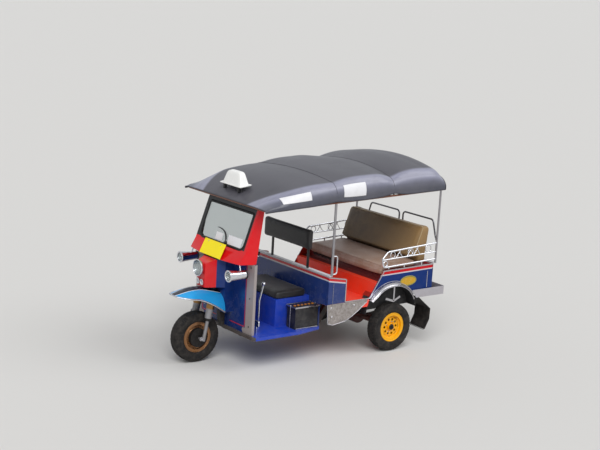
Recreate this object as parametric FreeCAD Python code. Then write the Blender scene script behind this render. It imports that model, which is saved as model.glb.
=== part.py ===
import FreeCAD, Part
import math
import os

from FreeCAD import Vector

# Auto rickshaw: three wheels, open sides, vinyl roof on a tube frame.
# Millimetres. +X is forward, +Y is the vehicle's left, +Z is up.
# The origin is on the ground under the middle of the overall box.
# Places along the vehicle are given from the rear axle line and moved by at().
# Places at the front are given from the front axle line by ahead().

# Clearances
SEAT_GAP = 0.3
BEARING_GAP = 0.4
HEAD_GAP = 0.9
RUNNING_GAP = 6.0

# Wheels and axles
WHEELBASE = 2000.0
TRACK = 1190.0
TYRE_RADIUS = 252.0
TYRE_WIDTH = 135.0
TYRE_WALL = 13.0
RIM_SEAT_RADIUS = 127.0
RIM_LIP = 17.0
RIM_WIDTH = 100.0
RIM_WELL = 16.0
RIM_SHEET = 4.0
DISC_SHEET = 5.0
HUB_RADIUS = 42.0
AXLE_RADIUS = 16.0
FRONT_AXLE_RADIUS = 9.0

# Steering
RAKE = math.radians(11.0)
AXIS_BEHIND_AXLE = 100.0
AXIS_Z = 600.0
FORK_GAP = 12.5
FORK_COVER_RADIUS = 36.0
FORK_SLIDER_RADIUS = 18.0
FORK_SEAL_Z = 440.0
YOKE = 34.0
HEAD_RADIUS = 30.0
STEM_RADIUS = 15.0
HEAD_LOW = 640.0
HEAD_LENGTH = 64.0
STEM_TOP = 1018.0
BAR_RADIUS = 11.0

# Frame
RAIL_INNER = 230.0
RAIL_WIDTH = 45.0
RAIL_DEPTH = 60.0
NECK_HALF = 28.0
AXLE_TUBE_RADIUS = 32.0
SPRING_REACH = 430.0
SPRING_THICK = 22.0
SPRING_WIDTH = 50.0

# Body shell
SHEET = 6.0
BODY_HALF = 665.0
FLOOR_Z = 341.0
FLOOR_LIP = 32.0
FLOOR_HALF_REAR = 520.0
FLOOR_HALF_FRONT = 578.0
FLOOR_FRONT = WHEELBASE - 300.0
SEAT_BOX_FRONT = 1290.0
SEAT_BOX_HALF = 345.0
SEAT_BOX_TOP = 620.0
PARTITION_X = 870.0
PARTITION_TOP = 882.0
CAP = 12.0
DECK_Z = 581.0
SILL_Z = 600.0
SIDE_TOP_FRONT = 873.0
SIDE_TOP_REAR = 885.0
SIDE_LOW = 612.0
BODY_REAR = -498.0
DOOR_FRONT = 665.0
DOOR_REAR = 358.0
DOOR_REAR_TOP = 183.0
RISER_X = 290.0
ARCH_X = 51.0
ARCH_Z = 391.0
ARCH_RADIUS = 346.0
ARCH_LIP = 35.0
HOUSING_GAP = 7.5
BUMPER_REAR = -670.0
BUMPER_FRONT = -216.0
BUMPER_PROUD = 17.0
BUMPER_LOW = 544.0
BUMPER_HEIGHT = 86.0
BUMPER_SHEET = 5.0
TRAY_DEPTH = 150.0
FLAP_WIDTH = 232.0

# Front of the cab
SHIELD_X = WHEELBASE - 326.0
SHIELD_HALF = 500.0
SHIELD_TOP = 1040.0
BAND_WIDTH = 115.0
BAND_SHEET = 3.0
SPINE_HALF = 155.0
SPINE_KNEE = WHEELBASE - 225.0
SPINE_NOSE = WHEELBASE - 150.0
SPINE_NOSE_HALF = 112.0
SPINE_LOW = 500.0
COWL_LOW = 752.0
COWL_FRONT = WHEELBASE - 45.0
COWL_SHEET = 4.0
CREASE_X = WHEELBASE - 194.0
CREASE_HALF = 432.0
CREASE_BOW = 54.0
CREASE_Z = 1044.0
SCREEN_LOW = (WHEELBASE - 262.0, 1162.0)
SCREEN_HIGH = (WHEELBASE - 382.0, 1510.0)
SCREEN_HALF = 375.0
PILLAR_HALF = 430.0
PILLAR_FOOT = (WHEELBASE - 349.0, 484.5)
PILLAR_HEAD = (WHEELBASE - 434.5, 465.0)
SCUTTLE_TOP = 1150.0
FRAME_BACK = -8.0
FRAME_FACE = 6.0
GLASS = 5.0
HEADLIGHT_RADIUS = 82.0
HEADLIGHT_Z = 940.0
HEADLIGHT_FACE = WHEELBASE
HORN_Z = 800.0
BULLET_RADIUS = 50.0
BULLET_Y = 430.0
BULLET_Z = 945.0
BULLET_FACE = WHEELBASE - 69.0
BULLET_LENGTH = 240.0
GUARD_TIP = WHEELBASE + 270.0
GUARD_SHEET = 4.0
PLATE_HALF = 180.0
PLATE_SHEET = 3.0

# Roof
POST_INSET = 3.0
POST_RADIUS = 13.0
REAR_POST_RADIUS = 11.0
FRONT_POST_X = 860.0
REAR_POST_X = -525.0
RAIL_OUTSET = 20.0
ROOF_RAIL_RADIUS = 10.0
ROOF_FRONT = WHEELBASE - 272.0
ROOF_REAR = -553.0
RAIL_FRONT_Z = 1600.0
RAIL_REAR_Z = 1672.0
RAIL_INSET = 19.0
CANOPY_WALL = 7.0
HEM = 36.0
SIGN_HALF = 181.0
SIGN_DEPTH = 134.0
SIGN_HEIGHT = 127.0

# Seats
BENCH_HALF = 610.0
BENCH_Z = 862.0
BENCH_THICK = 122.0
BENCH_FRONT = 148.0
BACKREST_FOOT = -308.0
BACKREST_TOP_Z = 1285.0
BACKREST_LEAN = 75.0
BACKREST_THICK = 107.0
PAD_THICK = 80.0

# Rails
RAIL_TUBE = 9.0
THIN_TUBE = 7.0

# Worked out from the sizes above
REAR_AXLE_X = -(GUARD_TIP + BUMPER_REAR) / 2.0
RIM_FLANGE_RADIUS = RIM_SEAT_RADIUS + RIM_LIP
FORK_HALF = TYRE_WIDTH / 2.0 + FORK_GAP + FORK_COVER_RADIUS
HEAD_HIGH = HEAD_LOW + HEAD_LENGTH
ARCH_INNER = (TRACK - TYRE_WIDTH) / 2.0 - HOUSING_GAP
BUMPER_HALF = BODY_HALF + BUMPER_PROUD
BUMPER_HIGH = BUMPER_LOW + BUMPER_HEIGHT
RAIL_TOP_REAR = BUMPER_LOW - SEAT_GAP
RAIL_TOP_FRONT = FLOOR_Z - SHEET - SEAT_GAP
INNER_HALF = BODY_HALF - SHEET - SEAT_GAP
POST_Y = BODY_HALF - POST_INSET
ROOF_RAIL_Y = POST_Y + RAIL_OUTSET
CANOPY_HALF = ROOF_RAIL_Y + ROOF_RAIL_RADIUS + SEAT_GAP + CANOPY_WALL
FLANGE_Z = SIDE_TOP_REAR + SEAT_GAP


def at(x):
    """Moves a place given from the rear axle line into the part's frame."""
    return REAR_AXLE_X + x


def ahead(x):
    """A place given from the front axle line, as one from the rear axle line."""
    return WHEELBASE + x


def rounded_edges(points, closed):
    """Edges along points (x, y, z, radius) with tangent arcs at the corners."""
    places = [Vector(*p[:3]) for p in points]
    count = len(points)
    starts, ends, arcs = [], [], []
    for i, place in enumerate(places):
        radius = points[i][3]
        inner = closed or 0 < i < count - 1
        if not inner or radius <= 0:
            starts.append(place)
            ends.append(place)
            arcs.append(None)
            continue
        back = (places[i - 1] - place).normalize()
        on = (places[(i + 1) % count] - place).normalize()
        half = back.getAngle(on) / 2.0
        reach = radius / math.tan(half)
        middle = (back + on).normalize()
        crest = place + middle * (radius / math.sin(half) - radius)
        starts.append(place + back * reach)
        ends.append(place + on * reach)
        arcs.append(Part.Arc(starts[i], crest, ends[i]).toShape())
    edges = []
    for i in range(count):
        if arcs[i]:
            edges.append(arcs[i])
        if i < count - 1 or closed:
            nxt = starts[(i + 1) % count]
            if ends[i].distanceToPoint(nxt) > 1e-6:
                edges.append(Part.LineSegment(ends[i], nxt).toShape())
    return edges


def outline(points, place):
    """A flat face from points (a, b) or (a, b, radius), put in space by place(a, b)."""
    full = []
    for p in points:
        radius = p[2] if len(p) > 2 else 0.0
        full.append(tuple(place(p[0], p[1])) + (radius,))
    return Part.Face(Part.Wire(rounded_edges(full, True)))


def side_plate(points, y_low, y_high):
    """A plate in the XZ plane, points (x, z[, radius]) from the rear axle line."""
    face = outline(points, lambda a, b: (at(a), y_low, b))
    return face.extrude(Vector(0, y_high - y_low, 0))


def plan_plate(points, z_low, z_high):
    """A plate in the XY plane, points (x, y[, radius]) from the rear axle line."""
    face = outline(points, lambda a, b: (at(a), b, z_low))
    return face.extrude(Vector(0, 0, z_high - z_low))


def cross_plate(points, x_low, x_high):
    """A plate in the YZ plane, points (y, z[, radius]), between two places along X."""
    face = outline(points, lambda a, b: (at(x_low), a, b))
    return face.extrude(Vector(x_high - x_low, 0, 0))


def block(x_low, x_high, y_low, y_high, z_low, z_high):
    """A plain box, x from the rear axle line."""
    size = (x_high - x_low, y_high - y_low, z_high - z_low)
    return Part.makeBox(*size, Vector(at(x_low), y_low, z_low))


def folded(points, thick):
    """Outline of a bent sheet: the line of points and its offset to the right."""
    offset = []
    last = len(points) - 1
    for i, (a, b) in enumerate(points):
        before = points[max(i - 1, 0)]
        after = points[min(i + 1, last)]
        normals = []
        for p, q in ((before, (a, b)), ((a, b), after)):
            length = math.hypot(q[0] - p[0], q[1] - p[1])
            if length > 0:
                normals.append(((q[1] - p[1]) / length, (p[0] - q[0]) / length))
        n = (sum(m[0] for m in normals), sum(m[1] for m in normals))
        scale = thick * len(normals) / (n[0] ** 2 + n[1] ** 2)
        offset.append((a + n[0] * scale, b + n[1] * scale))
    return list(points) + offset[::-1]


def mirrored(shape):
    """The same piece on the other side of the vehicle."""
    return shape.mirror(Vector(0, 0, 0), Vector(0, 1, 0))


def pair(shape):
    """A piece and its mirror image as one shape of separate solids."""
    return Part.makeCompound([shape, mirrored(shape)])


def both(shape):
    """A piece fused with its mirror image, for pieces that meet on the centre line."""
    return fused([shape, mirrored(shape)])


def fused(shapes):
    """One solid from touching pieces."""
    return shapes[0].multiFuse(shapes[1:]).removeSplitter()


def rod(a, b, radius):
    """A straight round bar between two places, x from the rear axle line."""
    start = Vector(at(a[0]), a[1], a[2])
    along = Vector(at(b[0]), b[1], b[2]) - start
    return Part.makeCylinder(radius, along.Length, start, along)


def tube(points, radius, bend):
    """A bent round bar through points (x, y, z), every corner of radius bend."""
    path = [(at(p[0]), p[1], p[2], bend) for p in points]
    wire = Part.Wire(rounded_edges(path, False))
    start = Vector(*path[0][:3])
    along = Vector(*path[1][:3]) - start
    ring = Part.Wire(Part.makeCircle(radius, start, along))
    return wire.makePipeShell([ring], True, False)


def turned(points, centre, axis):
    """A solid of revolution: points (along the axis, radius) about an axis at centre."""
    side = Vector(0, 0, 1) if abs(axis.z) < 0.5 else Vector(1, 0, 0)
    out = (side - axis * side.dot(axis)).normalize()
    face = outline(points, lambda a, r: centre + axis * a + out * r)
    return face.revolve(centre, axis, 360)


def lofted(sections):
    """A solid with flat sides between sections, each a closed list of (x, y, z)."""
    wires = []
    for section in sections:
        corners = [Vector(at(x), y, z) for x, y, z in section]
        wires.append(Part.makePolygon(corners + corners[:1]))
    return Part.makeLoft(wires, True, True)


def between(a, b, share):
    """The place at a share of the way from a to b."""
    return tuple(p + (q - p) * share for p, q in zip(a, b))


# Wheels

def tyre(centre):
    """A cross-ply tyre with slanted walls, hollow to the rim; its beads clear the rim's lips."""
    half = TYRE_WIDTH / 2.0
    seat = RIM_SEAT_RADIUS
    bulge = (TYRE_RADIUS + seat) / 2.0
    lip = RIM_WIDTH / 2.0 - RIM_SHEET - SEAT_GAP
    over = RIM_FLANGE_RADIUS + SEAT_GAP
    bead = lip - (half - lip) * (over - seat) / (bulge - over)
    crown = half - 15.0
    inner = TYRE_RADIUS - TYRE_WALL
    left = [(bead - TYRE_WALL, seat), (bead, seat), (half, bulge), (crown, TYRE_RADIUS)]
    profile = left + [(-a, r) for a, r in left[::-1]]
    profile += [(TYRE_WALL - crown, inner), (crown - TYRE_WALL, inner)]
    return turned(profile, centre, Vector(0, 1, 0))


def rim(centre, disc_at, windows, bore, hub_low, hub_high, side):
    """A pressed steel rim with a windowed disc and a hub; side is +1 or -1 along Y."""
    half = RIM_WIDTH / 2.0
    seat = RIM_SEAT_RADIUS
    well = seat - RIM_WELL
    t = RIM_SHEET
    flange = RIM_FLANGE_RADIUS
    barrel = [
        (-half, flange), (-half + t, flange), (-half + t, seat), (-24.0, seat), (-18.0, well),
        (18.0, well), (24.0, seat), (half - t, seat), (half - t, flange), (half, flange),
        (half, seat - t), (26.0, seat - t), (20.0, well - t), (-20.0, well - t),
        (-26.0, seat - t), (-half, seat - t),
    ]
    axis = Vector(0, side, 0)
    window_at = (HUB_RADIUS + well) / 2.0
    dish = (window_at - 26.0, window_at + 22.0)
    front = [(disc_at, bore), (disc_at, dish[0]), (disc_at + 8.0, dish[0] + 10.0),
             (disc_at + 8.0, dish[1] - 6.0), (disc_at, dish[1] + 4.0), (disc_at, well - t + 1.0)]
    back = [(a - DISC_SHEET, r) for a, r in front[::-1]]
    plate = turned(front + back, centre, axis)
    for i in range(windows):
        angle = 2.0 * math.pi * i / windows
        out = Vector(math.cos(angle), 0, math.sin(angle)) * window_at
        plate = plate.cut(Part.makeCylinder(13.0, RIM_WIDTH, centre + out - axis * half, axis))
    hub = [(hub_low, bore), (hub_low, HUB_RADIUS), (hub_high, HUB_RADIUS - 8.0), (hub_high, bore)]
    return fused([turned(barrel, centre, axis), plate, turned(hub, centre, axis)])


def rear_wheel(side):
    """Rim and tyre of one rear wheel; side is +1 for the left."""
    centre = Vector(at(0), side * TRACK / 2.0, TYRE_RADIUS)
    bore = AXLE_RADIUS + BEARING_GAP
    return rim(centre, 14.0, 10, bore, -45.0, 40.0, side), tyre(centre)


def front_wheel():
    """Rim and tyre of the steered wheel."""
    centre = Vector(at(WHEELBASE), 0, TYRE_RADIUS)
    bore = FRONT_AXLE_RADIUS + BEARING_GAP
    return rim(centre, 20.0, 6, bore, -48.0, 48.0, 1), tyre(centre)


# Steering

def on_axis(z):
    """X of the steering axis at a height, from the rear axle line."""
    return WHEELBASE - AXIS_BEHIND_AXLE - (z - AXIS_Z) * math.tan(RAKE)


def axis_rod(z_low, z_high, radius, y=0.0):
    """A round bar parallel to the steering axis."""
    return rod((on_axis(z_low), y, z_low), (on_axis(z_high), y, z_high), radius)


def fork():
    """Telescopic fork: two legs, the yoke, the stem and the wheel's axle."""
    yoke_high = HEAD_LOW - HEAD_RADIUS * math.sin(RAKE) - RUNNING_GAP / 2.0
    yoke_low = yoke_high - YOKE
    foot = TYRE_RADIUS - 25.0
    lug_back = on_axis(TYRE_RADIUS) - 10.0
    lug_front = WHEELBASE + 18.0
    shapes = []
    for side in (1, -1):
        y = side * FORK_HALF
        shapes.append(axis_rod(FORK_SEAL_Z, yoke_high, FORK_COVER_RADIUS, y))
        shapes.append(axis_rod(foot, FORK_SEAL_Z, FORK_SLIDER_RADIUS, y))
        lug = side_plate(
            [(lug_back, TYRE_RADIUS - 16), (lug_front, TYRE_RADIUS - 16, 14),
             (lug_front, TYRE_RADIUS + 16, 14), (lug_back, TYRE_RADIUS + 16)],
            y - FORK_SLIDER_RADIUS / 2.0, y + FORK_SLIDER_RADIUS / 2.0)
        shapes.append(lug)
    half = FORK_HALF + FORK_SLIDER_RADIUS
    x = on_axis(yoke_high)
    shapes.append(block(x - 26, x + 26, -half, half, yoke_low, yoke_high))
    above = block(0, WHEELBASE, -FORK_HALF, FORK_HALF, STEM_TOP, STEM_TOP + 30)
    shapes.append(axis_rod(yoke_high - YOKE / 2.0, STEM_TOP + 15, STEM_RADIUS).cut(above))
    reach = FORK_HALF + 12.0
    axle = rod((WHEELBASE, -reach, TYRE_RADIUS), (WHEELBASE, reach, TYRE_RADIUS),
               FRONT_AXLE_RADIUS)
    return fused(shapes + [axle])


def handlebar():
    """Pulled-back bar with grips, clamped on the stem's top."""
    low = STEM_TOP + SEAT_GAP
    x = on_axis(low)
    bar_z = low + BAR_RADIUS + 5.0
    clamp = block(x - 24, x + 10, -22, 22, low, bar_z + BAR_RADIUS + 3.0)
    # Places on the bar: x from the clamp, y, z above the clamp's bar
    line = ((-6, 12, 0), (-150, 50, 28), (-265, 200, 64), (-355, 270, 50))
    shapes = [clamp]
    for side in (1, -1):
        places = [(x + a, side * b, bar_z + c) for a, b, c in line]
        shapes.append(tube(places, BAR_RADIUS, 40.0))
        shapes.append(rod(between(places[2], places[3], 0.2), between(places[2], places[3], 1.02),
                          BAR_RADIUS + 5.0))
    return fused(shapes)


# Chassis

def chassis_frame():
    """Ladder frame that steps up over the rear axle, with the steering head."""
    rear = BUMPER_REAR + 30.0
    front = ahead(-360.0)
    low_rear = RAIL_TOP_REAR - RAIL_DEPTH
    low_front = RAIL_TOP_FRONT - RAIL_DEPTH
    step = (510.0, 670.0)
    rail = side_plate(
        [(rear, low_rear), (rear, RAIL_TOP_REAR), (step[0] + 30, RAIL_TOP_REAR),
         (step[1] + 30, RAIL_TOP_FRONT), (front, RAIL_TOP_FRONT), (front, low_front),
         (step[1], low_front), (step[0], low_rear)],
        RAIL_INNER, RAIL_INNER + RAIL_WIDTH)
    shapes = [rail, mirrored(rail)]
    # Cross members: x of the rear face, and the underside of the rails there
    members = ((rear + 10, low_rear), (-330.0, low_rear), (480.0, low_rear),
               (760.0, low_front), (1150.0, low_front), (front - 40, low_front))
    for x, low in members:
        shapes.append(block(x, x + 40, -RAIL_INNER - 10, RAIL_INNER + 10, low + 5,
                            low + RAIL_DEPTH - 5))
    head_back = on_axis(HEAD_LOW) - HEAD_RADIUS + 10
    neck = side_plate(
        [(front - 50, RAIL_TOP_FRONT - 1), (front + 10, low_front + 5), (front + 75, 334),
         (SPINE_KNEE - 30, 560), (SPINE_KNEE + 8, HEAD_LOW + 3), (head_back, HEAD_LOW + 5),
         (on_axis(HEAD_HIGH), HEAD_HIGH - 6),
         (SPINE_KNEE - 35, HEAD_HIGH - 20), (front + 20, 400)],
        -NECK_HALF, NECK_HALF)
    shapes.append(neck)
    shapes.append(axis_rod(HEAD_LOW, HEAD_HIGH, HEAD_RADIUS))
    bore = axis_rod(HEAD_LOW - HEAD_LENGTH, HEAD_HIGH + HEAD_LENGTH, STEM_RADIUS + HEAD_GAP)
    return fused(shapes).cut(bore)


def leaf_spring(y_low):
    """One arched pack of leaves from the hangers down to the axle tube."""
    end_z = RAIL_TOP_REAR - RAIL_DEPTH - SEAT_GAP - SPRING_THICK - 14.0
    low_z = TYRE_RADIUS + AXLE_TUBE_RADIUS - 6.0
    arcs = []
    for lift in (0.0, SPRING_THICK):
        places = [Vector(at(x), y_low, z + lift) for x, z in
                  ((-SPRING_REACH, end_z), (0.0, low_z), (SPRING_REACH, end_z))]
        arcs.append(Part.Arc(*places).toShape())
    ends = []
    for i in (0, -1):
        ends.append(Part.LineSegment(arcs[0].Vertexes[i].Point, arcs[1].Vertexes[i].Point).toShape())
    face = Part.Face(Part.Wire([arcs[0], ends[1], arcs[1], ends[0]]))
    return face.extrude(Vector(0, SPRING_WIDTH, 0))


def rear_axle():
    """Axle tube with its differential, stub shafts, and a leaf spring under each rail."""
    z = TYRE_RADIUS
    inner = TRACK / 2.0 - 45.0 - RUNNING_GAP
    end = TRACK / 2.0 + 38.0
    shapes = [
        rod((0, -inner, z), (0, inner, z), AXLE_TUBE_RADIUS),
        rod((0, -end, z), (0, end, z), AXLE_RADIUS),
        rod((0, -110, z), (0, 110, z), 95.0),
        rod((0, 0, z), (118, 0, z), 45.0),
    ]
    rail_low = RAIL_TOP_REAR - RAIL_DEPTH - SEAT_GAP
    rail_y = RAIL_INNER + RAIL_WIDTH / 2.0
    for side in (1, -1):
        y_low = side * rail_y - SPRING_WIDTH / 2.0
        shapes.append(leaf_spring(y_low))
        for x in (-SPRING_REACH, SPRING_REACH):
            shapes.append(block(x - 14, x + 14, y_low, y_low + SPRING_WIDTH, rail_low - 40, rail_low))
    return fused(shapes)


def engine_block():
    """Two-cylinder engine as one block under the rear deck, lugs out to the rails."""
    back = 121.0
    half = 150.0
    case = block(back, 460, -half, half, 300, 560)
    head = block(back, RISER_X - 28, -half, half, 560, 735)
    lug_half = RAIL_INNER - SEAT_GAP
    lugs = block(300, 360, -lug_half, lug_half, 490, 530)
    return fused([case, head, lugs])


def exhaust():
    """Silencer slung beside the right rail, with its pipes."""
    can_radius = 55.0
    y = can_radius + 5.0 - (BUMPER_HALF - FLAP_WIDTH)
    z = 365.0
    pipe_z = 338.0
    rail_out = -RAIL_INNER - RAIL_WIDTH - SEAT_GAP
    can = rod((-560, y, z), (-170, y, z), can_radius)
    pipe = tube([(-170, y, z), (200, y, z), (330, -300, pipe_z), (330, -150 - SEAT_GAP, pipe_z)],
                18.0, 60.0)
    tail = rod((BUMPER_REAR + 15, y, z), (-560, y, z), 18.0)
    hanger = block(-400, -370, y, rail_out, 500, 530)
    strap = block(-400, -370, y - 10, y + 10, z + 40, 530)
    return fused([can, pipe, tail, hanger, strap])


# Floors and inner walls

def arch_cutter(side, radius, y_low):
    """A round bar that clears the wheel housing of one side."""
    centre = Vector(at(ARCH_X), side * y_low, ARCH_Z)
    return Part.makeCylinder(radius, BODY_HALF, centre, Vector(0, side, 0))


def without_arches(shape):
    """Takes both wheel housings out of a piece."""
    for side in (1, -1):
        shape = shape.cut(arch_cutter(side, ARCH_RADIUS + SEAT_GAP, ARCH_INNER - SEAT_GAP))
    return shape


def floor_plan(inset):
    """Outline of the driver's floor, drawn in by an inset."""
    rear = PARTITION_X - SHEET
    front = FLOOR_FRONT - inset
    wide = FLOOR_HALF_FRONT - inset
    tail = FLOOR_HALF_REAR - inset
    left = [(front, wide, 40), (1150, wide, 200), (rear, tail)]
    return [(x, -y, *r) for x, y, *r in left[::-1]] + left


def driver_floor():
    """Driver's floor tray with a turned-down lip and the seat box on it."""
    plate = plan_plate(floor_plan(0.0), FLOOR_Z - SHEET, FLOOR_Z)
    lip = plan_plate(floor_plan(0.0), FLOOR_Z - FLOOR_LIP, FLOOR_Z - 1).cut(
        plan_plate(floor_plan(SHEET), FLOOR_Z - FLOOR_LIP - 1, FLOOR_Z))
    lip = lip.cut(block(0, ahead(-360.0) + 2, -FLOOR_HALF_REAR + SHEET + 1,
                        FLOOR_HALF_REAR - SHEET - 1, 200, FLOOR_Z - SHEET))
    neck = block(ahead(-415.0), WHEELBASE, -NECK_HALF - 1, NECK_HALF + 1, 200, FLOOR_Z + 80)
    box_back = PARTITION_X + SHEET + SEAT_GAP
    outer = block(box_back, SEAT_BOX_FRONT, -SEAT_BOX_HALF, SEAT_BOX_HALF, FLOOR_Z - 1,
                  SEAT_BOX_TOP)
    inner = block(box_back + SHEET, SEAT_BOX_FRONT - SHEET, -SEAT_BOX_HALF + SHEET,
                  SEAT_BOX_HALF - SHEET, FLOOR_Z - 2, SEAT_BOX_TOP - SHEET)
    return fused([plate, lip]).cut(neck).fuse(outer.cut(inner)).removeSplitter()


def passenger_floor():
    """Rear deck between the partition and the seat riser, with its sills."""
    deck = block(RISER_X, PARTITION_X - SHEET - SEAT_GAP, -INNER_HALF, INNER_HALF,
                 DECK_Z - SHEET, DECK_Z)
    sill = block(DOOR_REAR, DOOR_FRONT, INNER_HALF - 18.0, BODY_HALF - SEAT_GAP - 3.0,
                 DECK_Z - 60, SILL_Z)
    shape = fused([deck, sill, mirrored(sill)])
    return without_arches(shape)


def seat_riser():
    """Stepped sheet from the deck up to the bench, with the bench's top plate."""
    top = BENCH_Z - SEAT_GAP
    line = [(RISER_X + 2, DECK_Z + SEAT_GAP), (RISER_X - 12, 752), (BENCH_FRONT - 13, 758),
            (BENCH_FRONT - 20, top), (BODY_REAR + 1, top)]
    sheet = side_plate(folded(line[::-1], SHEET), -INNER_HALF, INNER_HALF)
    return without_arches(sheet)


def partition_panel():
    """Wall behind the driver, with the side wings that carry the front posts."""
    half = BODY_HALF - 5.0
    left = [(FLOOR_HALF_REAR, FLOOR_Z + SEAT_GAP), (FLOOR_HALF_REAR, DECK_Z), (half, DECK_Z),
            (half, PARTITION_TOP)]
    wall = cross_plate(left + [(-y, z) for y, z in left[::-1]], PARTITION_X, PARTITION_X + SHEET)
    nose = PARTITION_X + 20.0
    wing = side_plate(
        [(DOOR_FRONT, SILL_Z + SEAT_GAP), (DOOR_FRONT, PARTITION_TOP - 42, 20),
         (nose, PARTITION_TOP - 2, 4), (nose, SILL_Z + SEAT_GAP)],
        BODY_HALF - SHEET, BODY_HALF)
    cap = block(FRONT_POST_X - POST_RADIUS + 2, nose, -BODY_HALF, BODY_HALF, PARTITION_TOP,
                PARTITION_TOP + CAP)
    return fused([wall, wing, mirrored(wing), cap])


def side_panel(side):
    """Rear body side: flat panel with the wheel arch and the housing behind it."""
    panel = side_plate(
        [(DOOR_REAR, SIDE_LOW - 5), (DOOR_REAR_TOP, SIDE_TOP_FRONT),
         (BODY_REAR + 16, SIDE_TOP_REAR), (BODY_REAR, SIDE_LOW + 18), (BODY_REAR + 12, SIDE_LOW)],
        BODY_HALF - SHEET, BODY_HALF)
    cutter = arch_cutter(1, ARCH_RADIUS, 0.0)
    housing = arch_cutter(1, ARCH_RADIUS, ARCH_INNER).cut(
        arch_cutter(1, ARCH_RADIUS - SHEET, ARCH_INNER + SHEET))
    keep = block(ARCH_X - ARCH_RADIUS, ARCH_X + ARCH_RADIUS, ARCH_INNER, BODY_HALF,
                 SIDE_LOW - 5, ARCH_Z + ARCH_RADIUS)
    shape = fused([panel.cut(cutter), housing.common(keep)])
    return shape if side > 0 else mirrored(shape)


def rear_panel():
    """Back of the body with a flange along its top for the posts."""
    foot = SIDE_LOW - 12.0
    back = cross_plate(
        [(-INNER_HALF, foot), (-INNER_HALF, SIDE_TOP_REAR), (INNER_HALF, SIDE_TOP_REAR),
         (INNER_HALF, foot)],
        BODY_REAR - SHEET, BODY_REAR)
    flange = block(REAR_POST_X - 20, BODY_REAR, -BODY_HALF, BODY_HALF, FLANGE_Z, FLANGE_Z + SHEET)
    joint = block(BODY_REAR - SHEET, BODY_REAR, -INNER_HALF, INNER_HALF, SIDE_TOP_REAR - 1,
                  FLANGE_Z + 1)
    return fused([back, flange, joint])


# Outer trim and rear

def arch_trims():
    """Bright lips that stand out from the rear wheel arches, wider to the front."""
    face = BODY_HALF + SEAT_GAP
    ring = arch_cutter(1, ARCH_RADIUS + 4, face).cut(arch_cutter(1, ARCH_RADIUS, BODY_HALF))
    low = BUMPER_LOW + 41.0
    front = at(ARCH_X + ARCH_RADIUS)
    crest = at(ARCH_X - 20.0)
    rear = at(BUMPER_FRONT - 20.0)
    keep = Part.makePolygon([Vector(rear, face, low), Vector(front, face, low),
                             Vector(front, BODY_HALF + ARCH_LIP, low),
                             Vector(crest, BODY_HALF + ARCH_LIP * 0.6, low),
                             Vector(rear, BODY_HALF + BUMPER_PROUD, low), Vector(rear, face, low)])
    keep = Part.Face(keep).extrude(Vector(0, 0, ARCH_RADIUS))
    return pair(ring.common(keep))


def sill_skirts():
    """Tread-plate skirts under the doorway, from the sill down to the driver's floor."""
    nose = PARTITION_X + 23.0
    plate = side_plate(
        [(nose, SILL_Z - 2), (PARTITION_X + 6, 399, 12), (PARTITION_X - 65, 384, 20),
         (654, 406, 60), (567, 447, 60), (468, 513, 60), (381, 576), (381, SILL_Z - 2)],
        BODY_HALF - 3.0, BODY_HALF)
    return pair(plate)


def rear_bumper():
    """Open tray bumper of bent sheet round the back of the body."""
    t = BUMPER_SHEET
    arm = BUMPER_HALF - 14.0
    tray = BUMPER_REAR + TRAY_DEPTH
    left = [(tray, arm), (BUMPER_FRONT, arm), (BUMPER_FRONT, BUMPER_HALF),
            (BUMPER_REAR, BUMPER_HALF, 18)]
    outer = plan_plate(left + [(x, -y, *r) for x, y, *r in left[::-1]], BUMPER_LOW, BUMPER_HIGH)
    hollow = [(BUMPER_FRONT, BUMPER_HALF - t), (BUMPER_REAR + t, BUMPER_HALF - t, 13)]
    inner = plan_plate(hollow + [(x, -y, *r) for x, y, *r in hollow[::-1]],
                       BUMPER_LOW + t, BUMPER_HIGH + 1)
    ends = side_plate([(BUMPER_FRONT + 1, BUMPER_LOW - 1), (BUMPER_FRONT - 60, BUMPER_LOW - 1),
                       (BUMPER_FRONT + 1, BUMPER_HIGH)], -BUMPER_HALF - 1, BUMPER_HALF + 1)
    return outer.cut(inner).cut(ends)


def mud_flaps():
    """Bent rubber flaps hung under the bumper's arms behind the rear wheels."""
    top = BUMPER_LOW - SEAT_GAP
    back = BUMPER_FRONT - 64.0
    line = [(back + 5, top), (back - 35, top), (back - 210, top - 142), (back - 205, top - 258),
            (back - 151, top - 360)]
    return pair(side_plate(folded(line[::-1], SHEET), BUMPER_HALF - FLAP_WIDTH, BUMPER_HALF))


def tail_lamps():
    """Round lamps on the back panel."""
    lamps = []
    face = BODY_REAR - SHEET - SEAT_GAP
    for z in (790, 700):
        lamps.append(rod((face, 480, z), (face - 36, 480, z), 36.0))
    return pair(Part.makeCompound(lamps))


# Front of the cab

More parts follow.
